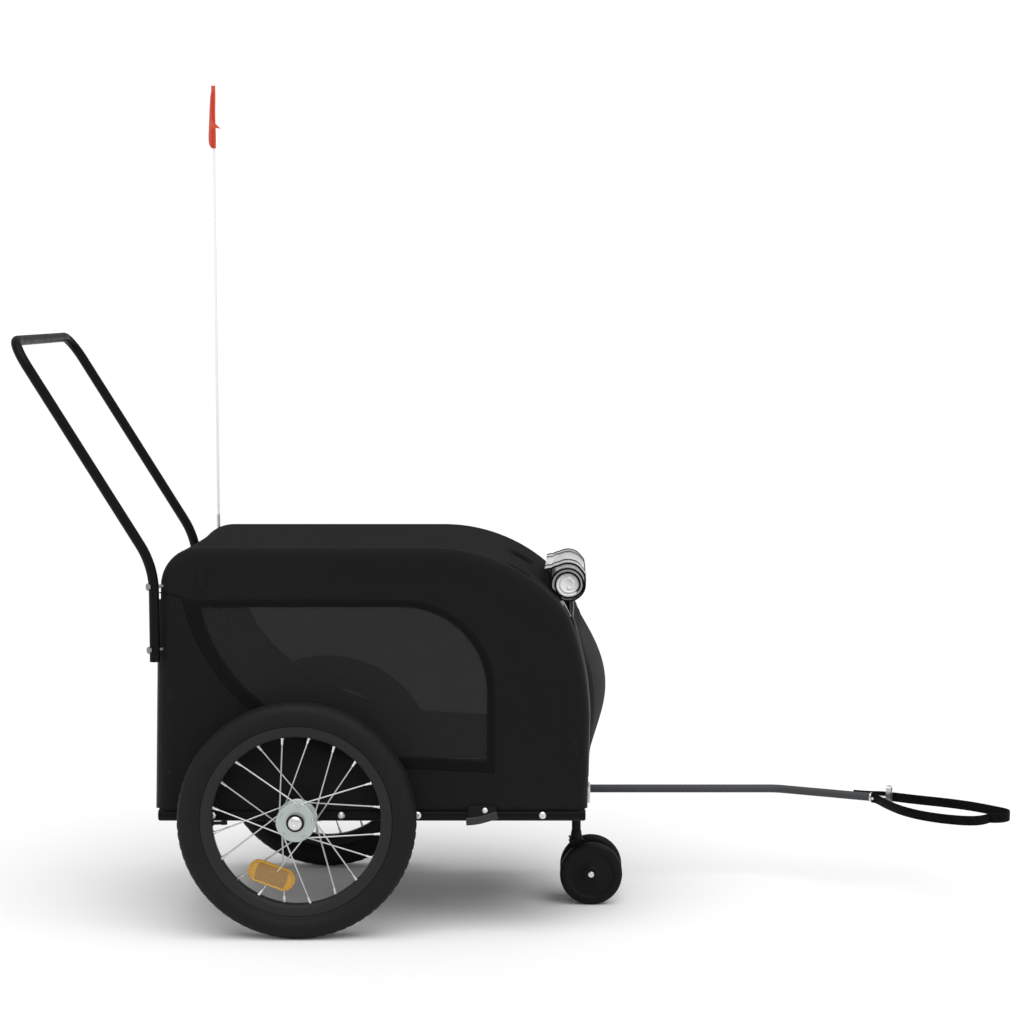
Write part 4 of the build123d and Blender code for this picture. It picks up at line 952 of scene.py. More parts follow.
# Radius in mm at each turn in degrees, clockwise from the top as seen from the right: the
# flap climbs from the roof, lies loose over the roll, and winds in to the core.
roll_turns = ((-57, 47.5), (-44, 39.2), (-24, 36.4), (0, 36.8), (20, 36.3), (50, 33.4), (90, 29.2),
              (180, 28.0), (270, 28.4), (360, 27.4), (450, 26.8), (540, 22.8), (630, 21.6), (720, 20.8),
              (810, 20.6), (900, 16.2), (990, 15.4), (1080, 14.2), (1170, 13.2), (1260, 10.4), (1440, 8.0),
              (1620, 4.0))
first_turn, last_turn, roll_steps, roll_columns = -57, 1620, 261, 27
bound_to = 850               # how far round the edge binding shows


def on_roll(degrees, y, lift=0.0):
    """Point of the rolled sheet at a turn, its crumpled rounds wandering a little along the roll."""
    for (a, ra), (b, rb) in zip(roll_turns, roll_turns[1:]):
        if degrees <= b:
            break
    share = (degrees - a) / (b - a)
    r = ra + (rb - ra) * share * share * (3 - 2 * share)
    if degrees < 90:                                                # the flap lies lower at its far end
        r -= 1.1 * (1 + y / roll_half) * min(1.0, (90 - degrees) / 60)
    loose = min(1.0, (degrees - first_turn) / 200) * min(1.0, (last_turn - degrees) / 300)
    r *= 1 + loose * 0.022 * noise.noise(Vector((degrees * 0.011, y * 14, 3.1)))
    angle = math.radians(degrees)
    c = roll_c + Vector(((r * mm + lift) * math.sin(angle), y, (r * mm + lift) * math.cos(angle)))
    if degrees > 135 and c.z < roll_c.z + 20 * mm:                  # pressed flat where it lies on the cloth
        c.x = max(c.x, front_face(c.z) + lift + (0.5 + 1.5 * degrees / 360) * mm)
    return c


def off_roll(c):
    """The roll's outward direction at a point."""
    return Vector((c.x, 0, c.z)) - roll_c


round_steps = [first_turn + (last_turn - first_turn) * k / (roll_steps - 1) for k in range(roll_steps)]
columns_y = [roll_half * (2 * j / (roll_columns - 1) - 1) for j in range(roll_columns)]
rows = [[on_roll(degrees, y) for y in columns_y] for degrees in round_steps]
rolled = make_piece("rolled_rain_cover", *skin_over(rows), vinyl, slot="rain_cover",
                    stands_for=["rolled_cover"], crease=60)
# Each end: the folded binding on the sheet's edge, and the layers of the roll, bulging a little.
binding_profile = ((-1.4, 0.0), (-1.0, 1.3), (0.5, 1.6), (7, 1.0), (7, -1.0), (0.5, -1.6), (-1.0, -1.3))
bulges = ((0.0, 0.6), (0.25, 2.0), (0.5, 2.6), (0.75, 2.0), (1.0, 0.6))
end_turns = [degrees for degrees in round_steps if -42 <= degrees <= last_turn - 360]
for name, s in both_sides:
    path = [on_roll(degrees, s * roll_half) for degrees in round_steps if degrees <= bound_to]
    profile = [(-s * across, lift) for across, lift in binding_profile]
    make_piece(f"rolled_cover_binding_{name}", *strip_along(path, off_roll, profile, around=True), tape,
               slot="binding", crease=60)
    rows = []
    for degrees in end_turns:
        outer, within = on_roll(degrees, s * roll_half), on_roll(degrees + 360, s * roll_half)
        rows.append([outer.lerp(within, share) + Vector((0, s * bulge * mm, 0)) for share, bulge in bulges])
    points, faces = skin_over(rows)
    last = [5 * k + 4 for k, degrees in enumerate(end_turns) if degrees > last_turn - 720]
    faces += [(a, b, len(points)) for a, b in zip(last, last[1:])]      # the core is closed by a fan
    points.append(roll_c + Vector((0, s * (roll_half + 0.6 * mm), 0)))
    make_piece(f"rolled_cover_layers_{name}", points, faces, layered_vinyl, slot="rain_cover", crease=60)

strap_bands = []
for y in (-75 * mm, 75 * mm):
    ring = [on_roll(degrees, y, (1.2 if degrees <= 180 else 1.6) * mm) for degrees in range(-55, 276, 5)]
    band_profile = ((-5, 0), (-5, 0.6), (5, 0.6), (5, 0))
    strap_bands.append(strip_along(ring, off_roll, band_profile, closed=True, around=True))
make_piece("rolled_cover_straps", *gather(*strap_bands), tape, slot="binding", stands_for=["cover_straps"],
           crease=60)


# ---------------------------------------------------------------- Floor board
# A fibreboard panel in a sewn sleeve of heavier black polyester, laid on the bottom frame.
# The sleeve lies a little slack over the board and has a stitched seam round its edge.
floor_cloth = woven_cloth("black_floor_cloth", "262627", 1.2 * mm, roughness=0.92)
board_low, board_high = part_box("floor_board")
sleeve_slack = Vector((3.5 * mm, 4.2 * mm, 0))                       # its sewn edges reach out to the rails
board_low, board_high = board_low - sleeve_slack, board_high + sleeve_slack
board_mid_z, board_half_t = (board_low.z + board_high.z) / 2, (board_high.z - board_low.z) / 2
board_corner, edge_round = 12 * mm, 2 * mm


def board_outline(pull_in):
    """Outline of the floor board, drawn in from its edge."""
    radius = board_corner - pull_in
    return rounded_outline((board_low.x + pull_in, board_low.y + pull_in),
                           (board_high.x - pull_in, board_high.y - pull_in), radius, radius, 14 * mm, least=4)


flat, faces = fill_outline(board_outline(edge_round), [], 16 * mm)
reach = reach_from(board_outline(edge_round))
parts = []
for up in (1, -1):
    points = []
    for x, y in flat:
        slack = min(1.0, reach((x, y)) / 0.03) * (0.35 + 0.3 * noise.noise(Vector((x * 13, y * 17, up))))
        points.append((x, y, board_mid_z + up * (board_half_t - slack * mm)))
    parts.append((points, faces))
rims = []
for a in range(0, 181, 30):
    rim = board_outline(edge_round * (1 - math.sin(math.radians(a))))
    rims.append([(x, y, board_mid_z + board_half_t * math.cos(math.radians(a))) for x, y in rim])
parts += [skin_over([upper, lower], around=True) for upper, lower in zip(rims, rims[1:])]
make_piece("floor_board_sleeve", *gather(*parts), floor_cloth, slot="floor", stands_for=["floor_board"])
path = [(x, y, board_high.z) for x, y in board_outline(10 * mm)]
make_piece("floor_board_stitching", *sew(path, (0, 0, 1), closed=True), sewing, slot="floor")


# ---------------------------------------------------------------- Bolts and rail plugs
# Domed zinc-plated bolts: along the rails, through the handle's feet and the arm's clamps.
# Black moulded polypropylene plugs close the rails' open ends.
def zinc_plate(name, colour, roughness):
    """Bright zinc plating on steel: a pale metal with fine rolling marks and a cloudy gloss."""
    return grained_finish(name, colour, roughness,
                          (160.0, 4.0, {"gloss": (roughness - 0.08, roughness + 0.12)}),
                          (900.0, 2.0, {"raised": (0.15, 0.2 * mm)}), metallic=1.0)


def lathe(profile, origin, axis, count=32, start=None):
    """A turned shape: each profile point is a distance along the axis and a radius, in mm."""
    axis = Vector(axis).normalized()
    up = Vector(start) if start else axis.orthogonal().normalized()
    side = axis.cross(up)
    turns = [2 * math.pi * j / count for j in range(count)]
    spokes = [up * math.cos(turn) + side * math.sin(turn) for turn in turns]
    rows = [[Vector(origin) + (axis * reach + spoke * r) * mm for spoke in spokes] for reach, r in profile]
    return skin_over(rows, around=True)


def bolt(origin, axis, count=24, long=1.0, wide=1.0):
    """A domed bolt head with a small socket in it, its foot at the origin."""
    head = ((0, 0), (0, 6.2), (0.5, 6.3), (1.2, 5.9), (2.4, 4.6), (3.1, 3.2), (3.3, 2.6), (3.2, 2.3),
            (1.9, 2.2), (1.8, 0))
    return lathe([(h * long, r * wide) for h, r in head], origin, axis, count)


zinc = zinc_plate("bright_zinc", "d6d6d4", 0.32)
bolts, plugs = [], []
for s, rail in ((-1, "rail_right"), (1, "rail_left")):
    low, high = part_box(rail)
    face_y = low.y if s < 0 else high.y
    middle = (low + high) / 2
    bolts += [bolt((axle.x + x * mm, face_y - s * 0.4 * mm, middle.z + 1 * mm), (0, s, 0))
              for x in (-145.6, 71.1, 199.5, 409.2)]
    plugs += [lathe([(-0.5, 9.4), (1.2, 9.4), (2.0, 8.6), (2.3, 5), (2.4, 0)], (x, middle.y, middle.z),
                    (way, 0, 0), 28) for x, way in ((low.x, -1), (high.x, 1))]
make_piece("rail_bolts", *gather(*bolts), zinc, slot="bolt_zinc")
dress(zinc, "caster_axle")
dress(zinc_plate("weathered_zinc", "8e8e8d", 0.42), "handle_bolts")
plug_plastic = grained_finish("black_moulded_polypropylene", "0e0e0f", 0.55,
                              (900.0, 2.0, {"raised": (0.25, 0.2 * mm)}), by="Generated", specular=0.14)
make_piece("rail_end_plugs", *gather(*plugs), plug_plastic, slot="catch_plastic")


# ---------------------------------------------------------------- Tow arm and hitch
# A round steel arm, grey powder coat, clamped under the left rail; a zinc-plated tongue
# carries the eye that drops over the bicycle's hitch pin, and a webbing strap backs it up.
dress(powder_coat("grey_powder_coat", "444547", 0.4, 0.3), "tow_arm")
dress(black_coat, "arm_clamps")
dress(zinc, "hitch_eye")

# Polypropylene webbing: herringbone ribs along it, slightly shiny black yarn.
webbing, tree, shader = new_finish("black_webbing", "070708", 0.7, specular=0.07)
place = add_node(tree, "ShaderNodeTexCoord").outputs["Object"]
ribs, twill = (add_node(tree, "ShaderNodeTexWave", {"Vector": place, "Scale": 1 / (width * mm) / 20,
                                                    "Distortion": wander}, wave_type="BANDS",
                        bands_direction=way).outputs["Fac"]
               for width, wander, way in ((2.2, 0.6, "Z"), (1.6, 0.4, "DIAGONAL")))
both = add_node(tree, "ShaderNodeMath", {0: ribs, 1: twill}, operation="ADD")
apply_pattern(shader, both, raised=(0.6, 0.3 * mm))
# Painted light and shade: the twill's diagonal ribs also tone the black yarn lighter and darker.
apply_pattern(shader, twill, tones=(linear("070708", 0.6), linear("070708", 1.5)))


def rounded_way(corners, steps=8):
    """A run that rounds each corner between the middles of its two legs, as a soft strap does."""
    corners = [Vector(c) for c in corners]
    middles = [corners[0], *[(a + b) / 2 for a, b in zip(corners[1:], corners[2:-1])], corners[-1]]
    path = []
    for start, corner, end in zip(middles, corners[1:-1], middles[1:]):
        path += [start.lerp(corner, share).lerp(corner.lerp(end, share), share)
                 for share in (k / steps for k in range(steps))]
    return path + [corners[-1]]


strap_low, strap_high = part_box("safety_strap")
strap_z, strap_half = (strap_low.z + strap_high.z) / 2, (strap_high.z - strap_low.z) / 2


def at_strap(*points):
    """Points on the strap's level, given from the axle in millimetres."""
    return [Vector((axle.x + x * mm, y * mm, strap_z)) for x, y in points]


arm_bend, arm_tip = at_strap((840, 225), (1006, 145))
arm_way = (arm_tip - arm_bend).normalized() * mm
arm_side = Vector((-arm_way.y, arm_way.x, 0))
strap_t, tip_r = 3.0, 30 * mm
tip_c = Vector((strap_high.x - strap_t / 2 * mm - tip_r, -0.012, strap_z))
far_run = [arm_tip - arm_way * 36 + arm_side * 10.3, arm_tip - arm_way * 6 + arm_side * 10.3,
           *at_strap((1032, 157), (1080, 124), (1141, 90), (1190, 52))]
near_run = [*at_strap((1176, -66), (1134, -62), (1084, -30), (1048, 18), (1025, 84)),
            arm_tip + arm_way * 12 - arm_side * 6.3, arm_tip + arm_way * 4 - arm_side * 6.3]
tip_turn = [Vector((x, y, strap_z)) for x, y in arc_points(tip_c.xy, tip_r, 46, -108, 22)]
strap_way = rounded_way(far_run + [tip_turn[0]]) + tip_turn[1:-1] + rounded_way([tip_turn[-1]] + near_run)
half_web = ((-0.5, 0.86), (-0.38, 0.97), (-0.2, 1.0), (0.2, 1.0), (0.38, 0.97), (0.5, 0.86))
web = [(u * strap_t, v * strap_half / mm) for u, v in (*half_web, *[(-u, -v) for u, v in half_web])]
make_piece("safety_strap_webbing", *strip_along(strap_way, (0, 0, 1), web, around=True, ends=(0, -1)),
           webbing, slot="strap", stands_for=["safety_strap"], crease=50)
rows = []
for near_end, s in ((strap_way[2:10], 1), (strap_way[-10:-2], -1)):
    for v in (-0.75, -0.25, 0.25, 0.75):
        path = [p + Vector((0, 0, v * strap_half)) + arm_side * s * strap_t * 0.55 for p in near_end]
        rows.append(sew(path, arm_side * s, pitch=2.8 * mm, length=2.2 * mm))
make_piece("safety_strap_stitching", *gather(*rows), sewing, slot="strap")

# Bolts through the arm's two clamps, their heads outward.
clamp_low, clamp_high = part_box("arm_clamps")
clamp_z = (clamp_low.z + clamp_high.z) / 2 - 2 * mm
clamp_bolts = [bolt((x, y - s * 0.3 * mm, clamp_z), (0, s, 0), 20, wide=0.9)
               for x in (clamp_low.x + 14 * mm, clamp_high.x - 14 * mm)
               for s, y in ((1, clamp_high.y), (-1, clamp_low.y))]
make_piece("clamp_bolts", *gather(*clamp_bolts), zinc, slot="bolt_zinc")


# ---------------------------------------------------------------- Front caster
# Twin moulded nylon wheels on one axle in a raked fork that swivels under the front tube.
# Each has a hollow outer face, rounded treads and a turned nut over its axle.
def middle_of(node):
    """The middle of a CAD node's box."""
    low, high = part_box(node)
    return (low + high) / 2


nylon = grained_finish("black_moulded_nylon", "0d0d0e", 0.48, (700.0, 2.0, {"raised": (0.2, 0.2 * mm)}),
                       (60.0, 5.0, {"gloss": (0.36, 0.6)}), specular=0.13)
dress(nylon, "caster_fork")
low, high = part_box("caster_wheel_right")
r, half = (high.z - low.z) / 2 / mm, (high.y - low.y) / 2 / mm
tread_edge, wall_r = 5.5, 46.0
shoulder = [(tread_edge * (1 - math.cos(math.radians(a))), wall_r + (r - wall_r) * math.sin(math.radians(a)))
            for a in (20, 40, 60, 75, 90)]
wheel_profile = [(-half, 5.0), (-half, 8.5), (-half + 3.0, 10.0), (-half + 3.2, 36.0), (-half + 1.6, 38.5),
                 (-half + 0.6, 41.0), (-half + 0.5, wall_r), *[(-half + 0.5 + d, q) for d, q in shoulder],
                 (-2.0, r), (-1.6, r - 0.7), (1.6, r - 0.7), (2.0, r),
                 *[(half - 0.5 - d, q) for d, q in reversed(shoulder)],
                 *[(half - h, q) for h, q in ((0.5, wall_r), (0.6, 41.0), (1.2, 40.2), (1.8, 39.6),
                                              (2.4, 37.0), (2.6, 14.0), (1.0, 12.5), (0.4, 11.0),
                                              (0.4, 7.6), (2.0, 7.0), (2.0, 4.0))]]
nut_profile = [(half - 2.0, 0), (half - 2.0, 5.6), (half + 0.6, 5.6), (half + 1.4, 4.9), (half + 1.9, 3.4),
               (half + 1.9, 0)]
for name, s in both_sides:
    c = middle_of(f"caster_wheel_{name}")
    make_piece(f"caster_wheel_nylon_{name}", *lathe(wheel_profile, c, (0, s, 0), 96), nylon,
               body="caster_wheels", slot="caster_plastic", stands_for=[f"caster_wheel_{name}"], crease=50)
    make_piece(f"caster_nut_{name}", *lathe(nut_profile, c, (0, s, 0), 12), zinc, body="caster_wheels",
               slot="bolt_zinc", crease=25)


# ---------------------------------------------------------------- Tyres
# Black rubber with a fine block tread, a shoulder groove, and raised rings on its wall.
rubber = grained_finish(
    "black_rubber", "151516", 0.62, (800.0, 3.0, {"raised": (0.2, 0.2 * mm)}),
    (14.0, 5.0, {"tones": (linear("131314"), linear("19191a")), "gloss": (0.5, 0.72)}), specular=0.14)
tyre_r, tyre_half = (tyre_high.z - tyre_low.z) / 2 / mm, (tyre_high.y - tyre_low.y) / 2 / mm
round_r, tread_turn = 20.5, 48
bead = ((15.6, 163.6), (14.6, 161.4), (12.6, 160.2), (11.4, 157.0))   # tucked inside the rim's edges
profile, treads = [], []
for k in range(49):
    turn = -128 + 256 * k / 48
    y = tyre_half * math.sin(math.radians(turn))
    r = tyre_r - round_r + round_r * math.cos(math.radians(turn))
    if 50 < abs(turn) < 56:                                         # the shoulder groove
        r -= 0.9
        y -= math.copysign(0.5, y)
    if 95 < abs(turn) < 102:                                        # the raised ring
        y += math.copysign(0.45, y)
    profile.append((y, r))
    treads.append(abs(turn) < tread_turn)
profile = [(-y, r) for y, r in reversed(bead)] + profile + list(bead)
treads = [False] * len(bead) + treads + [False] * len(bead)
blocks_round, block_lane, tread_depth, groove_depth = 288, 4, 1.1, 1.3
for name, s in both_sides:
    c = middle_of(f"tyre_{name}")
    points, faces = lathe(profile, c, (0, s, 0), blocks_round, start=(0, 0, 1))
    for k, p in enumerate(points):
        row, j = divmod(k, blocks_round)
        off_middle = abs(profile[row][0])
        if treads[row]:
            cut = tread_depth if (j + (2 if off_middle > 9 else 0)) % block_lane == 0 else 0.0
            groove = groove_depth if abs(off_middle - 8.2) < 1.0 else 0.0
            points[k] = p - Vector((p.x - c.x, 0, p.z - c.z)).normalized() * max(cut, groove) * mm
    make_piece(f"tyre_rubber_{name}", points, faces, rubber, body=f"wheel_{name}", slot="tyre",
               stands_for=[f"tyre_{name}"], crease=50)


# ---------------------------------------------------------------- Rims
# Rolled steel rims, black satin paint, with hooked edges, a spoke bed, and a valve.
rim_paint = powder_coat("black_satin_rim_paint", "272728", 0.38, 0.2)
rim_half, rim_edge, bed = 13.5, 159.0, 141.0
rim_profile = [(-rim_half + 1.5, rim_edge + 1.2), (-rim_half, rim_edge + 0.6),
               (-rim_half - 0.2, rim_edge - 1.2), (-rim_half + 0.4, rim_edge - 3),
               (-rim_half + 1.2, rim_edge - 7), (-rim_half + 3.0, bed + 6),
               (-8.6, bed + 1.6), (-7.0, bed + 0.3), (-5.0, bed - 0.2)]
rim_profile += [(-y, r) for y, r in reversed(rim_profile)]
rim_profile += [(8.0, bed + 3.0), (-8.0, bed + 3.0), rim_profile[0]]
valve_profile = [(bed - 0.5, 0), (bed - 0.5, 4.6), (bed - 2.5, 4.4), (bed - 3.0, 3.0), (bed - 15, 2.9),
                 (bed - 16, 3.7), (bed - 24, 3.6), (bed - 25, 3.0), (bed - 25.2, 0)]
valve_turn = math.radians(-92)
for name, s in both_sides:
    c = middle_of(f"rim_{name}")
    make_piece(f"rim_steel_{name}", *lathe(rim_profile, c, (0, s, 0), 160), rim_paint, body=f"wheel_{name}",
               slot="rim_black", stands_for=[f"rim_{name}"], crease=38)
    valve = lathe(valve_profile, c, (math.sin(valve_turn), 0, math.cos(valve_turn)), 18)
    make_piece(f"valve_{name}", *valve, plug_plastic, body=f"wheel_{name}", slot="rim_black", crease=45)


# ---------------------------------------------------------------- Hubs and spokes
# Pressed steel hubs, zinc plated, laced with twenty plain-gauge spokes in brass nipples,
# and held by a dome nut over a black washer.
hub_steel = zinc_plate("dull_zinc", "b4bcba", 0.42)
spoke_steel = grained_finish("drawn_spoke_wire", "c2c2c4", 0.28, (500.0, 2.0, {"gloss": (0.2, 0.42)}),
                             by="Generated", metallic=1.0)
spoke_count, flange_gap, flange_r, hole_r, hub_face = 20, 34.0, 33.0, 29.0, 23.0
hub_profile = [(-hub_face, 6.4), (-hub_face, 11.0), (-21.6, 13.0), (-19.0, 14.5), (-18.9, flange_r - 0.6),
               (-18.3, flange_r), (-16.0, flange_r), (-15.5, flange_r - 0.6), (-15.2, 17.0), (-13.0, 13.4),
               (-11.0, 13.0)]
hub_profile += [(-h, r) for h, r in reversed(hub_profile)]
washer = [(hub_face + h, r) for h, r in ((0, 6.2), (0, 14.6), (1.0, 15.0), (2.6, 14.6), (3.0, 13.6),
                                         (3.0, 6.2))]
dome_nut = [(hub_face + h, r) for h, r in ((1.0, 11.3), (5.0, 11.2), (6.6, 9.8), (7.6, 7.0), (7.9, 3.6),
                                           (7.7, 3.2), (7.0, 2.4), (7.0, 0))]


def lace_spoke(c, s, k):
    """Spoke k, laced as on the solid wheel: its wire and headed end, and its nipple in the rim."""
    turn, side = 2 * math.pi / spoke_count * (k + 0.5), s * (1 if k % 2 else -1)
    cross = turn + math.radians(58) * (1 if k % 4 in (1, 2) else -1)
    out = side * flange_gap / 2
    root = c + Vector((hole_r * math.sin(cross), out, hole_r * math.cos(cross))) * mm
    tip = c + Vector(((bed - 0.3) * math.sin(turn), out * 0.2, (bed - 0.3) * math.cos(turn))) * mm
    way, outer = (tip - root).normalized(), Vector((0, side * mm, 0))
    wire = tube_along([root + outer * 3.4, root + outer * 2.2, root + way * 2 * mm + outer * 0.6,
                       root + way * 6 * mm, tip], 1.35 * mm, 10)
    head = lathe([(0, 0), (0, 2.2), (0.8, 2.4), (1.6, 1.6), (1.8, 0)], root + outer * 2.6, outer, 10)
    nipple = lathe([(-11, 1.5), (-10.6, 2.1), (-3, 2.3), (-2.6, 3.0), (0, 3.0)], tip, way, 8)
    return gather(wire, head), nipple


for name, s in both_sides:
    c, wheel = middle_of(f"tyre_{name}"), f"wheel_{name}"
    make_piece(f"hub_steel_{name}", *lathe(hub_profile, c, (0, s, 0), 64), hub_steel, body=wheel,
               slot="hub_zinc", stands_for=[f"hub_{name}"], crease=40)
    wires, nipples = zip(*[lace_spoke(c, s, k) for k in range(spoke_count)])
    make_piece(f"spokes_{name}", *gather(*wires), spoke_steel, body=wheel, slot="hub_zinc", crease=60)
    make_piece(f"spoke_nipples_{name}", *gather(*nipples), zinc, body=wheel, slot="hub_zinc")
    make_piece(f"axle_washer_{name}", *lathe(washer, c, (0, s, 0), 40), plug_plastic, slot="rim_black")
    make_piece(f"axle_dome_nut_{name}", *lathe(dome_nut, c, (0, s, 0), 36), zinc, slot="bolt_zinc")
    dress(zinc, f"axle_{name}")


# ---------------------------------------------------------------- Wheel reflectors
# Moulded amber acrylic: a raised rim, a browner prism panel in the middle and brighter
# faceted ends, clipped between the spokes.
def prism_acrylic(name, colour, deep, cell=2.4 * mm):
    """Reflector acrylic: glossy, with small cube-corner prisms that break up the light."""
    finish, tree, shader = new_finish(name, colour, 0.18, specular=0.6, ior=1.49)
    shader.inputs["Coat Weight"].default_value = 0.6
    shader.inputs["Coat Roughness"].default_value = 0.06
    place = add_node(tree, "ShaderNodeTexCoord").outputs["Object"]
    cells = add_node(tree, "ShaderNodeTexVoronoi", {"Vector": place, "Scale": 1 / cell, "Randomness": 0.15})
    apply_pattern(shader, cells.outputs["Distance"], raised=(0.8, cell / 3))
    apply_pattern(shader, cells.outputs["Color"], tones=(linear(colour), linear(deep)))
    return finish


amber_bright = prism_acrylic("amber_prism_acrylic", "b98a12", "a5780b")
amber_deep = prism_acrylic("amber_deep_prism_acrylic", "8f6a2c", "7b5920", cell=1.8 * mm)
slot_length, slot_height, reflector_turn = 82, 38, math.radians(20)
rim_rings = ((0.6, 0.0), (0.0, 1.0), (0.0, 5.6), (0.9, 6.8), (2.4, 7.0), (3.2, 6.4), (3.6, 5.2))
panel = ((-25, -14.2), (25, -14.2), (27.5, 0), (25, 14.2), (-25, 14.2), (-27.5, 0))
panel_rings = ((0, 5.0), (0, 5.8), (1.0, 6.2))


def slot_outline(shrink):
    """Outline of the reflector's slot shape about its middle, drawn in from its edge."""
    r, run = slot_height / 2 - shrink, (slot_length - slot_height) / 2
    return arc_points((run, 0), r, 90, -90, 16) + arc_points((-run, 0), r, -90, -270, 16)


def drawn_in(value, shrink, middle=0.0):
    """A measure brought nearer its middle."""
    return value - math.copysign(shrink, value - middle)


for name, s in both_sides:
    middle = middle_of(f"tyre_{name}") + Vector((-42, s * 4, -91)) * mm
    u_way = Vector((math.cos(reflector_turn), 0, -math.sin(reflector_turn))) * mm
    v_way = Vector((math.sin(reflector_turn), 0, math.cos(reflector_turn))) * mm
    out = Vector((0, s * mm, 0))
    rows = [[middle + u_way * u + v_way * v + out * lift for u, v in slot_outline(shrink)]
            for shrink, lift in rim_rings]
    make_piece(f"wheel_reflector_amber_{name}", *skin_over(rows, around=True, ends=(0, -1)), amber_bright,
               body=f"wheel_{name}", slot="amber", stands_for=[f"wheel_reflector_{name}"], crease=40)
    rows = [[middle + u_way * drawn_in(u, shrink) + v_way * drawn_in(v, shrink) + out * lift
             for u, v in panel] for shrink, lift in panel_rings]
    make_piece(f"wheel_reflector_panel_{name}", *skin_over(rows, around=True, ends=(-1,)), amber_deep,
               body=f"wheel_{name}", slot="amber", crease=30)


# ---------------------------------------------------------------- Front and rear reflectors
# Round clear reflectors at the front and red ones at the rear: moulded prism lenses with a raised edge.
lens = ((0, 0), (0, 17.8), (4.6, 17.8), (5.4, 17.0), (5.6, 15.4), (4.9, 15.0), (5.6, 12.0), (6.3, 6.0),
        (6.6, 0))
for node, way, finish, slot_name in (
        ("front_reflectors", 1, prism_acrylic("clear_prism_acrylic", "d9dadb", "b9bbbd"), "clear_reflector"),
        ("rear_reflectors", -1, prism_acrylic("red_prism_acrylic", "a5141a", "7c0c12"), "red")):
    low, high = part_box(node)
    back_x = low.x if way > 0 else high.x
    lenses = [lathe(lens, (back_x, y, (low.z + high.z) / 2), (way, 0, 0), 40)
              for y in (low.y + 18 * mm, high.y - 18 * mm)]
    make_piece(f"{node}_prisms", *gather(*lenses), finish, slot=slot_name, stands_for=[node], crease=30)


# ---------------------------------------------------------------- Side catches
# Moulded clips screwed over the rails: a flat black plate, and a curved satin lip below it
# that the floor's strap hooks over.
# The lip is the plate's black polypropylene, painted a lighter grey for the light that its curved face
# catches; its grain tones it at random.
catch_lip_lit_plastic = grained_finish("black_polypropylene_painted_lit", "2a2a2b", 0.42, (
    220.0, 4.0, {"raised": (0.2, 0.3 * mm), "tones": (linear("242425"), linear("323233"))}), specular=0.25)
plate_low, plate_high, plate_t, plate_corner = (284.0, 198.0), (331.5, 218.0), 3.8, 4
plate_mid = between(plate_low, plate_high, 0.5)
plate_rings = ((0, 0.0), (0, plate_t - 0.9), (0.35, plate_t - 0.25), (1.0, plate_t))
corner_z = plate_high[1] - plate_corner
corners = [plate_low, (plate_high[0], plate_low[1]),
           *arc_points((plate_high[0] - plate_corner, corner_z), plate_corner, 0, 90, 3),
           *arc_points((plate_low[0] + plate_corner, corner_z), plate_corner, 90, 180, 3)]
lip_line = ((281.0, 191.0), (292.0, 191.6), (303.0, 193.4), (314.0, 196.4), (324.0, 199.6), (333.5, 202.4))
lip_section = ((-1.0, 0.0), (-1.0, 0.55), (-0.88, 0.85), (-0.6, 1.0), (0.6, 0.92), (0.9, 0.75), (1.0, 0.5),
               (1.0, 0.0))
for name, s in both_sides:
    low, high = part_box(f"side_catch_{name}")
    back_y = high.y if s < 0 else low.y
    rows = [[(axle.x + drawn_in(x, shrink, plate_mid[0]) * mm, back_y + s * lift * mm,
              drawn_in(z, shrink, plate_mid[1]) * mm) for x, z in corners] for shrink, lift in plate_rings]
    make_piece(f"side_catch_plate_{name}", *skin_over(rows, around=True, ends=(0, -1)), plug_plastic,
               slot="catch_plastic", stands_for=[f"side_catch_{name}"], crease=40)
    path = rounded_way([(x, back_y + s * 0.4 * mm, z) for x, z in at_axle(*lip_line)], steps=4)
    section = [(v * 6.6 * s, w * 5.4) for v, w in lip_section]
    make_piece(f"side_catch_lip_{name}", *strip_along(path, (0, s, 0), section, around=True, ends=(0, -1)),
               catch_lip_lit_plastic, slot="catch_plastic", crease=50)
    screw = bolt((axle.x + 312.6 * mm, back_y + s * plate_t * mm, 210 * mm), (0, s, 0), long=0.7, wide=0.78)
    make_piece(f"side_catch_screw_{name}", *screw, zinc, slot="bolt_zinc")


# ---------------------------------------------------------------- Safety flag
# A white fibreglass pole in two webbing loops sewn flat to the left side panel, with an
# orange ripstop nylon pennant hemmed into a sleeve round it.
white_rod = grained_finish("white_fibreglass", "ededeb", 0.35, (120.0, 2.0, {"raised": (0.2, 0.2 * mm)}),
                           by="Generated")
dress(white_rod, "flag_pole")
pole_low, pole_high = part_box("flag_pole")
pole = (pole_low + pole_high) / 2
pole_r = (pole_high.x - pole_low.x) / 2
holder_low, holder_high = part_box("flag_holders")
cloth_y = holder_low.y + 0.8 * mm
half_loop, loop_r = 13 * mm, pole_r + 0.9 * mm
loop_profile = ((-0.5, -13), (-0.5, 13), (0.5, 13), (0.5, -13))
loops, rows = [], []
for z in (holder_low.z + half_loop, holder_high.z - half_loop):
    ends = [(pole.x + u * mm, cloth_y) for u in (-19, -16, -12, -9, 9, 12, 16, 19)]
    loop = [(*p, z) for p in ends[:4] + arc_points(pole.xy, loop_r, 190, -10, 10) + ends[4:]]
    loops.append(strip_along(loop, (0, 0, 1), loop_profile, around=True))
    rows += [sew([(pole.x + u * mm, cloth_y + 0.6 * mm, z + v * mm) for v in (-11.5, 0, 11.5)], (0, 1, 0))
             for u in (-17.5, -11.5, 11.5, 17.5)]
make_piece("flag_holder_webbing", *gather(*loops), webbing, slot="strap", stands_for=["flag_holders"],
           crease=50)
make_piece("flag_holder_stitching", *gather(*rows), sewing, slot="strap")
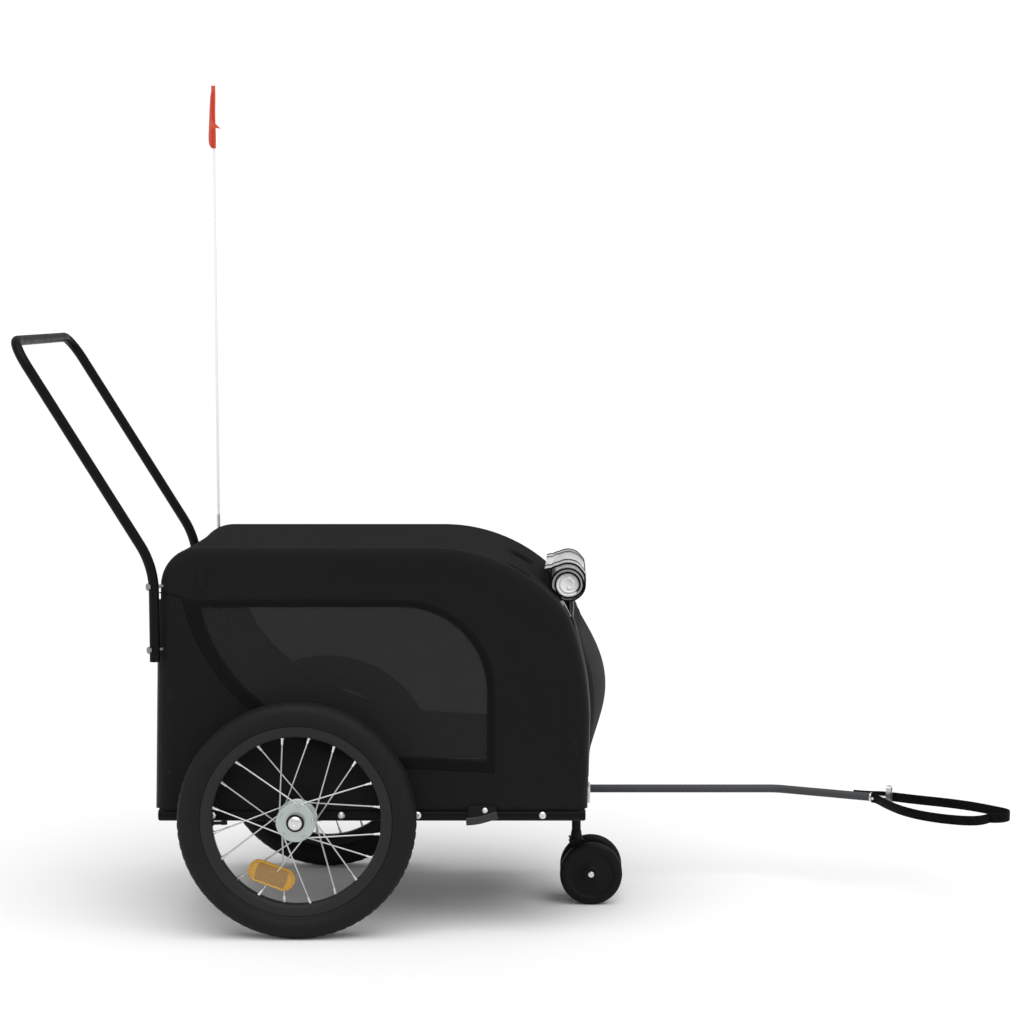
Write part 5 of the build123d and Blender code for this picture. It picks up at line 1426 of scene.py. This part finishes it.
top_cap, foot_cap, ferrule = (
    lathe(profile, (pole.x, pole.y, z), (0, 0, 1), 20)
    for profile, z in ([((-6, 2.9), (0.2, 2.9), (0.9, 2.2), (1.1, 0)), pole_high.z - 1.1 * mm],
                       [((-5, 2.9), (5, 2.9)), pole_low.z + 5 * mm],
                       [((-12, 2.5), (-12, 3.3), (12, 3.3), (12, 2.5)), 0.656]))
make_piece("flag_pole_caps", *gather(top_cap, foot_cap), plug_plastic, slot="flag_pole")
make_piece("flag_pole_ferrule", *ferrule, zinc, slot="bolt_zinc")

# The pennant hangs limp toward the right, bellied backward at its foot.
nylon_cloth = woven_cloth("orange_ripstop_nylon", "d14a30", 0.5 * mm, roughness=0.6, specular=0.3, fuzz=0.05)
low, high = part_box("flag")
low.z += 4 * mm
sleeve_top = pole_high.z + 3.5 * mm                                  # closed over the end of the pole
hoist, fly, tip_drop, flag_turn = high.z - low.z, 170 * mm, 0.72, math.radians(8)
fly_way = Vector((math.sin(flag_turn), -math.cos(flag_turn), 0))
belly_way = Vector((-math.cos(flag_turn), -math.sin(flag_turn), 0)) * mm
sleeve_r = pole_r + 1.1 * mm
flag_columns, flag_rows = 41, 25
columns = []
for k in range(flag_columns):
    share, column = k / (flag_columns - 1), []
    arch = math.sin(math.pi * share) * mm
    top = high.z - tip_drop * hoist * share - 3 * arch
    foot = low.z + (1 - tip_drop) * hoist * share - 2 * arch
    curl = max(0.0, (share - 0.88) / 0.12)                           # the tip curls forward and hangs
    for j in range(flag_rows):
        up = j / (flag_rows - 1)
        belly = (6.5 + 3.0 * (1 - up)) * math.sin(math.pi * min(1.0, share * 1.1)) ** 0.35
        belly += 0.8 * math.sin(2 * math.pi * (1.7 * share + 0.3 * up)) * share - 13.0 * curl ** 1.5
        z = foot + (top - foot) * up - 6.0 * mm * curl * curl
        column.append(Vector((pole.x, pole.y, z)) + fly_way * (sleeve_r * 0.4 + fly * share * 0.985)
                      + belly_way * belly)
    columns.append(column)
pennant = make_piece("pennant", *skin_over(columns), nylon_cloth, slot="flag", stands_for=["flag"])
thicken(pennant, 0.4 * mm, 0.0)
sleeve = [(pole.x, pole.y, low.z + (sleeve_top - low.z) * k / 30) for k in range(31)]
rumpled = tube_along(sleeve, lambda share: sleeve_r + 0.35 * mm * math.sin(share * 9), sides=16)
make_piece("pennant_sleeve", *rumpled, nylon_cloth, slot="flag")
rows = [sew([p + belly_way * 0.4 for p in column], belly_way, pitch=3 * mm, length=2.2 * mm)
        for column in columns[1:3]]
make_piece("pennant_stitching", *gather(*rows), sewing, slot="flag")
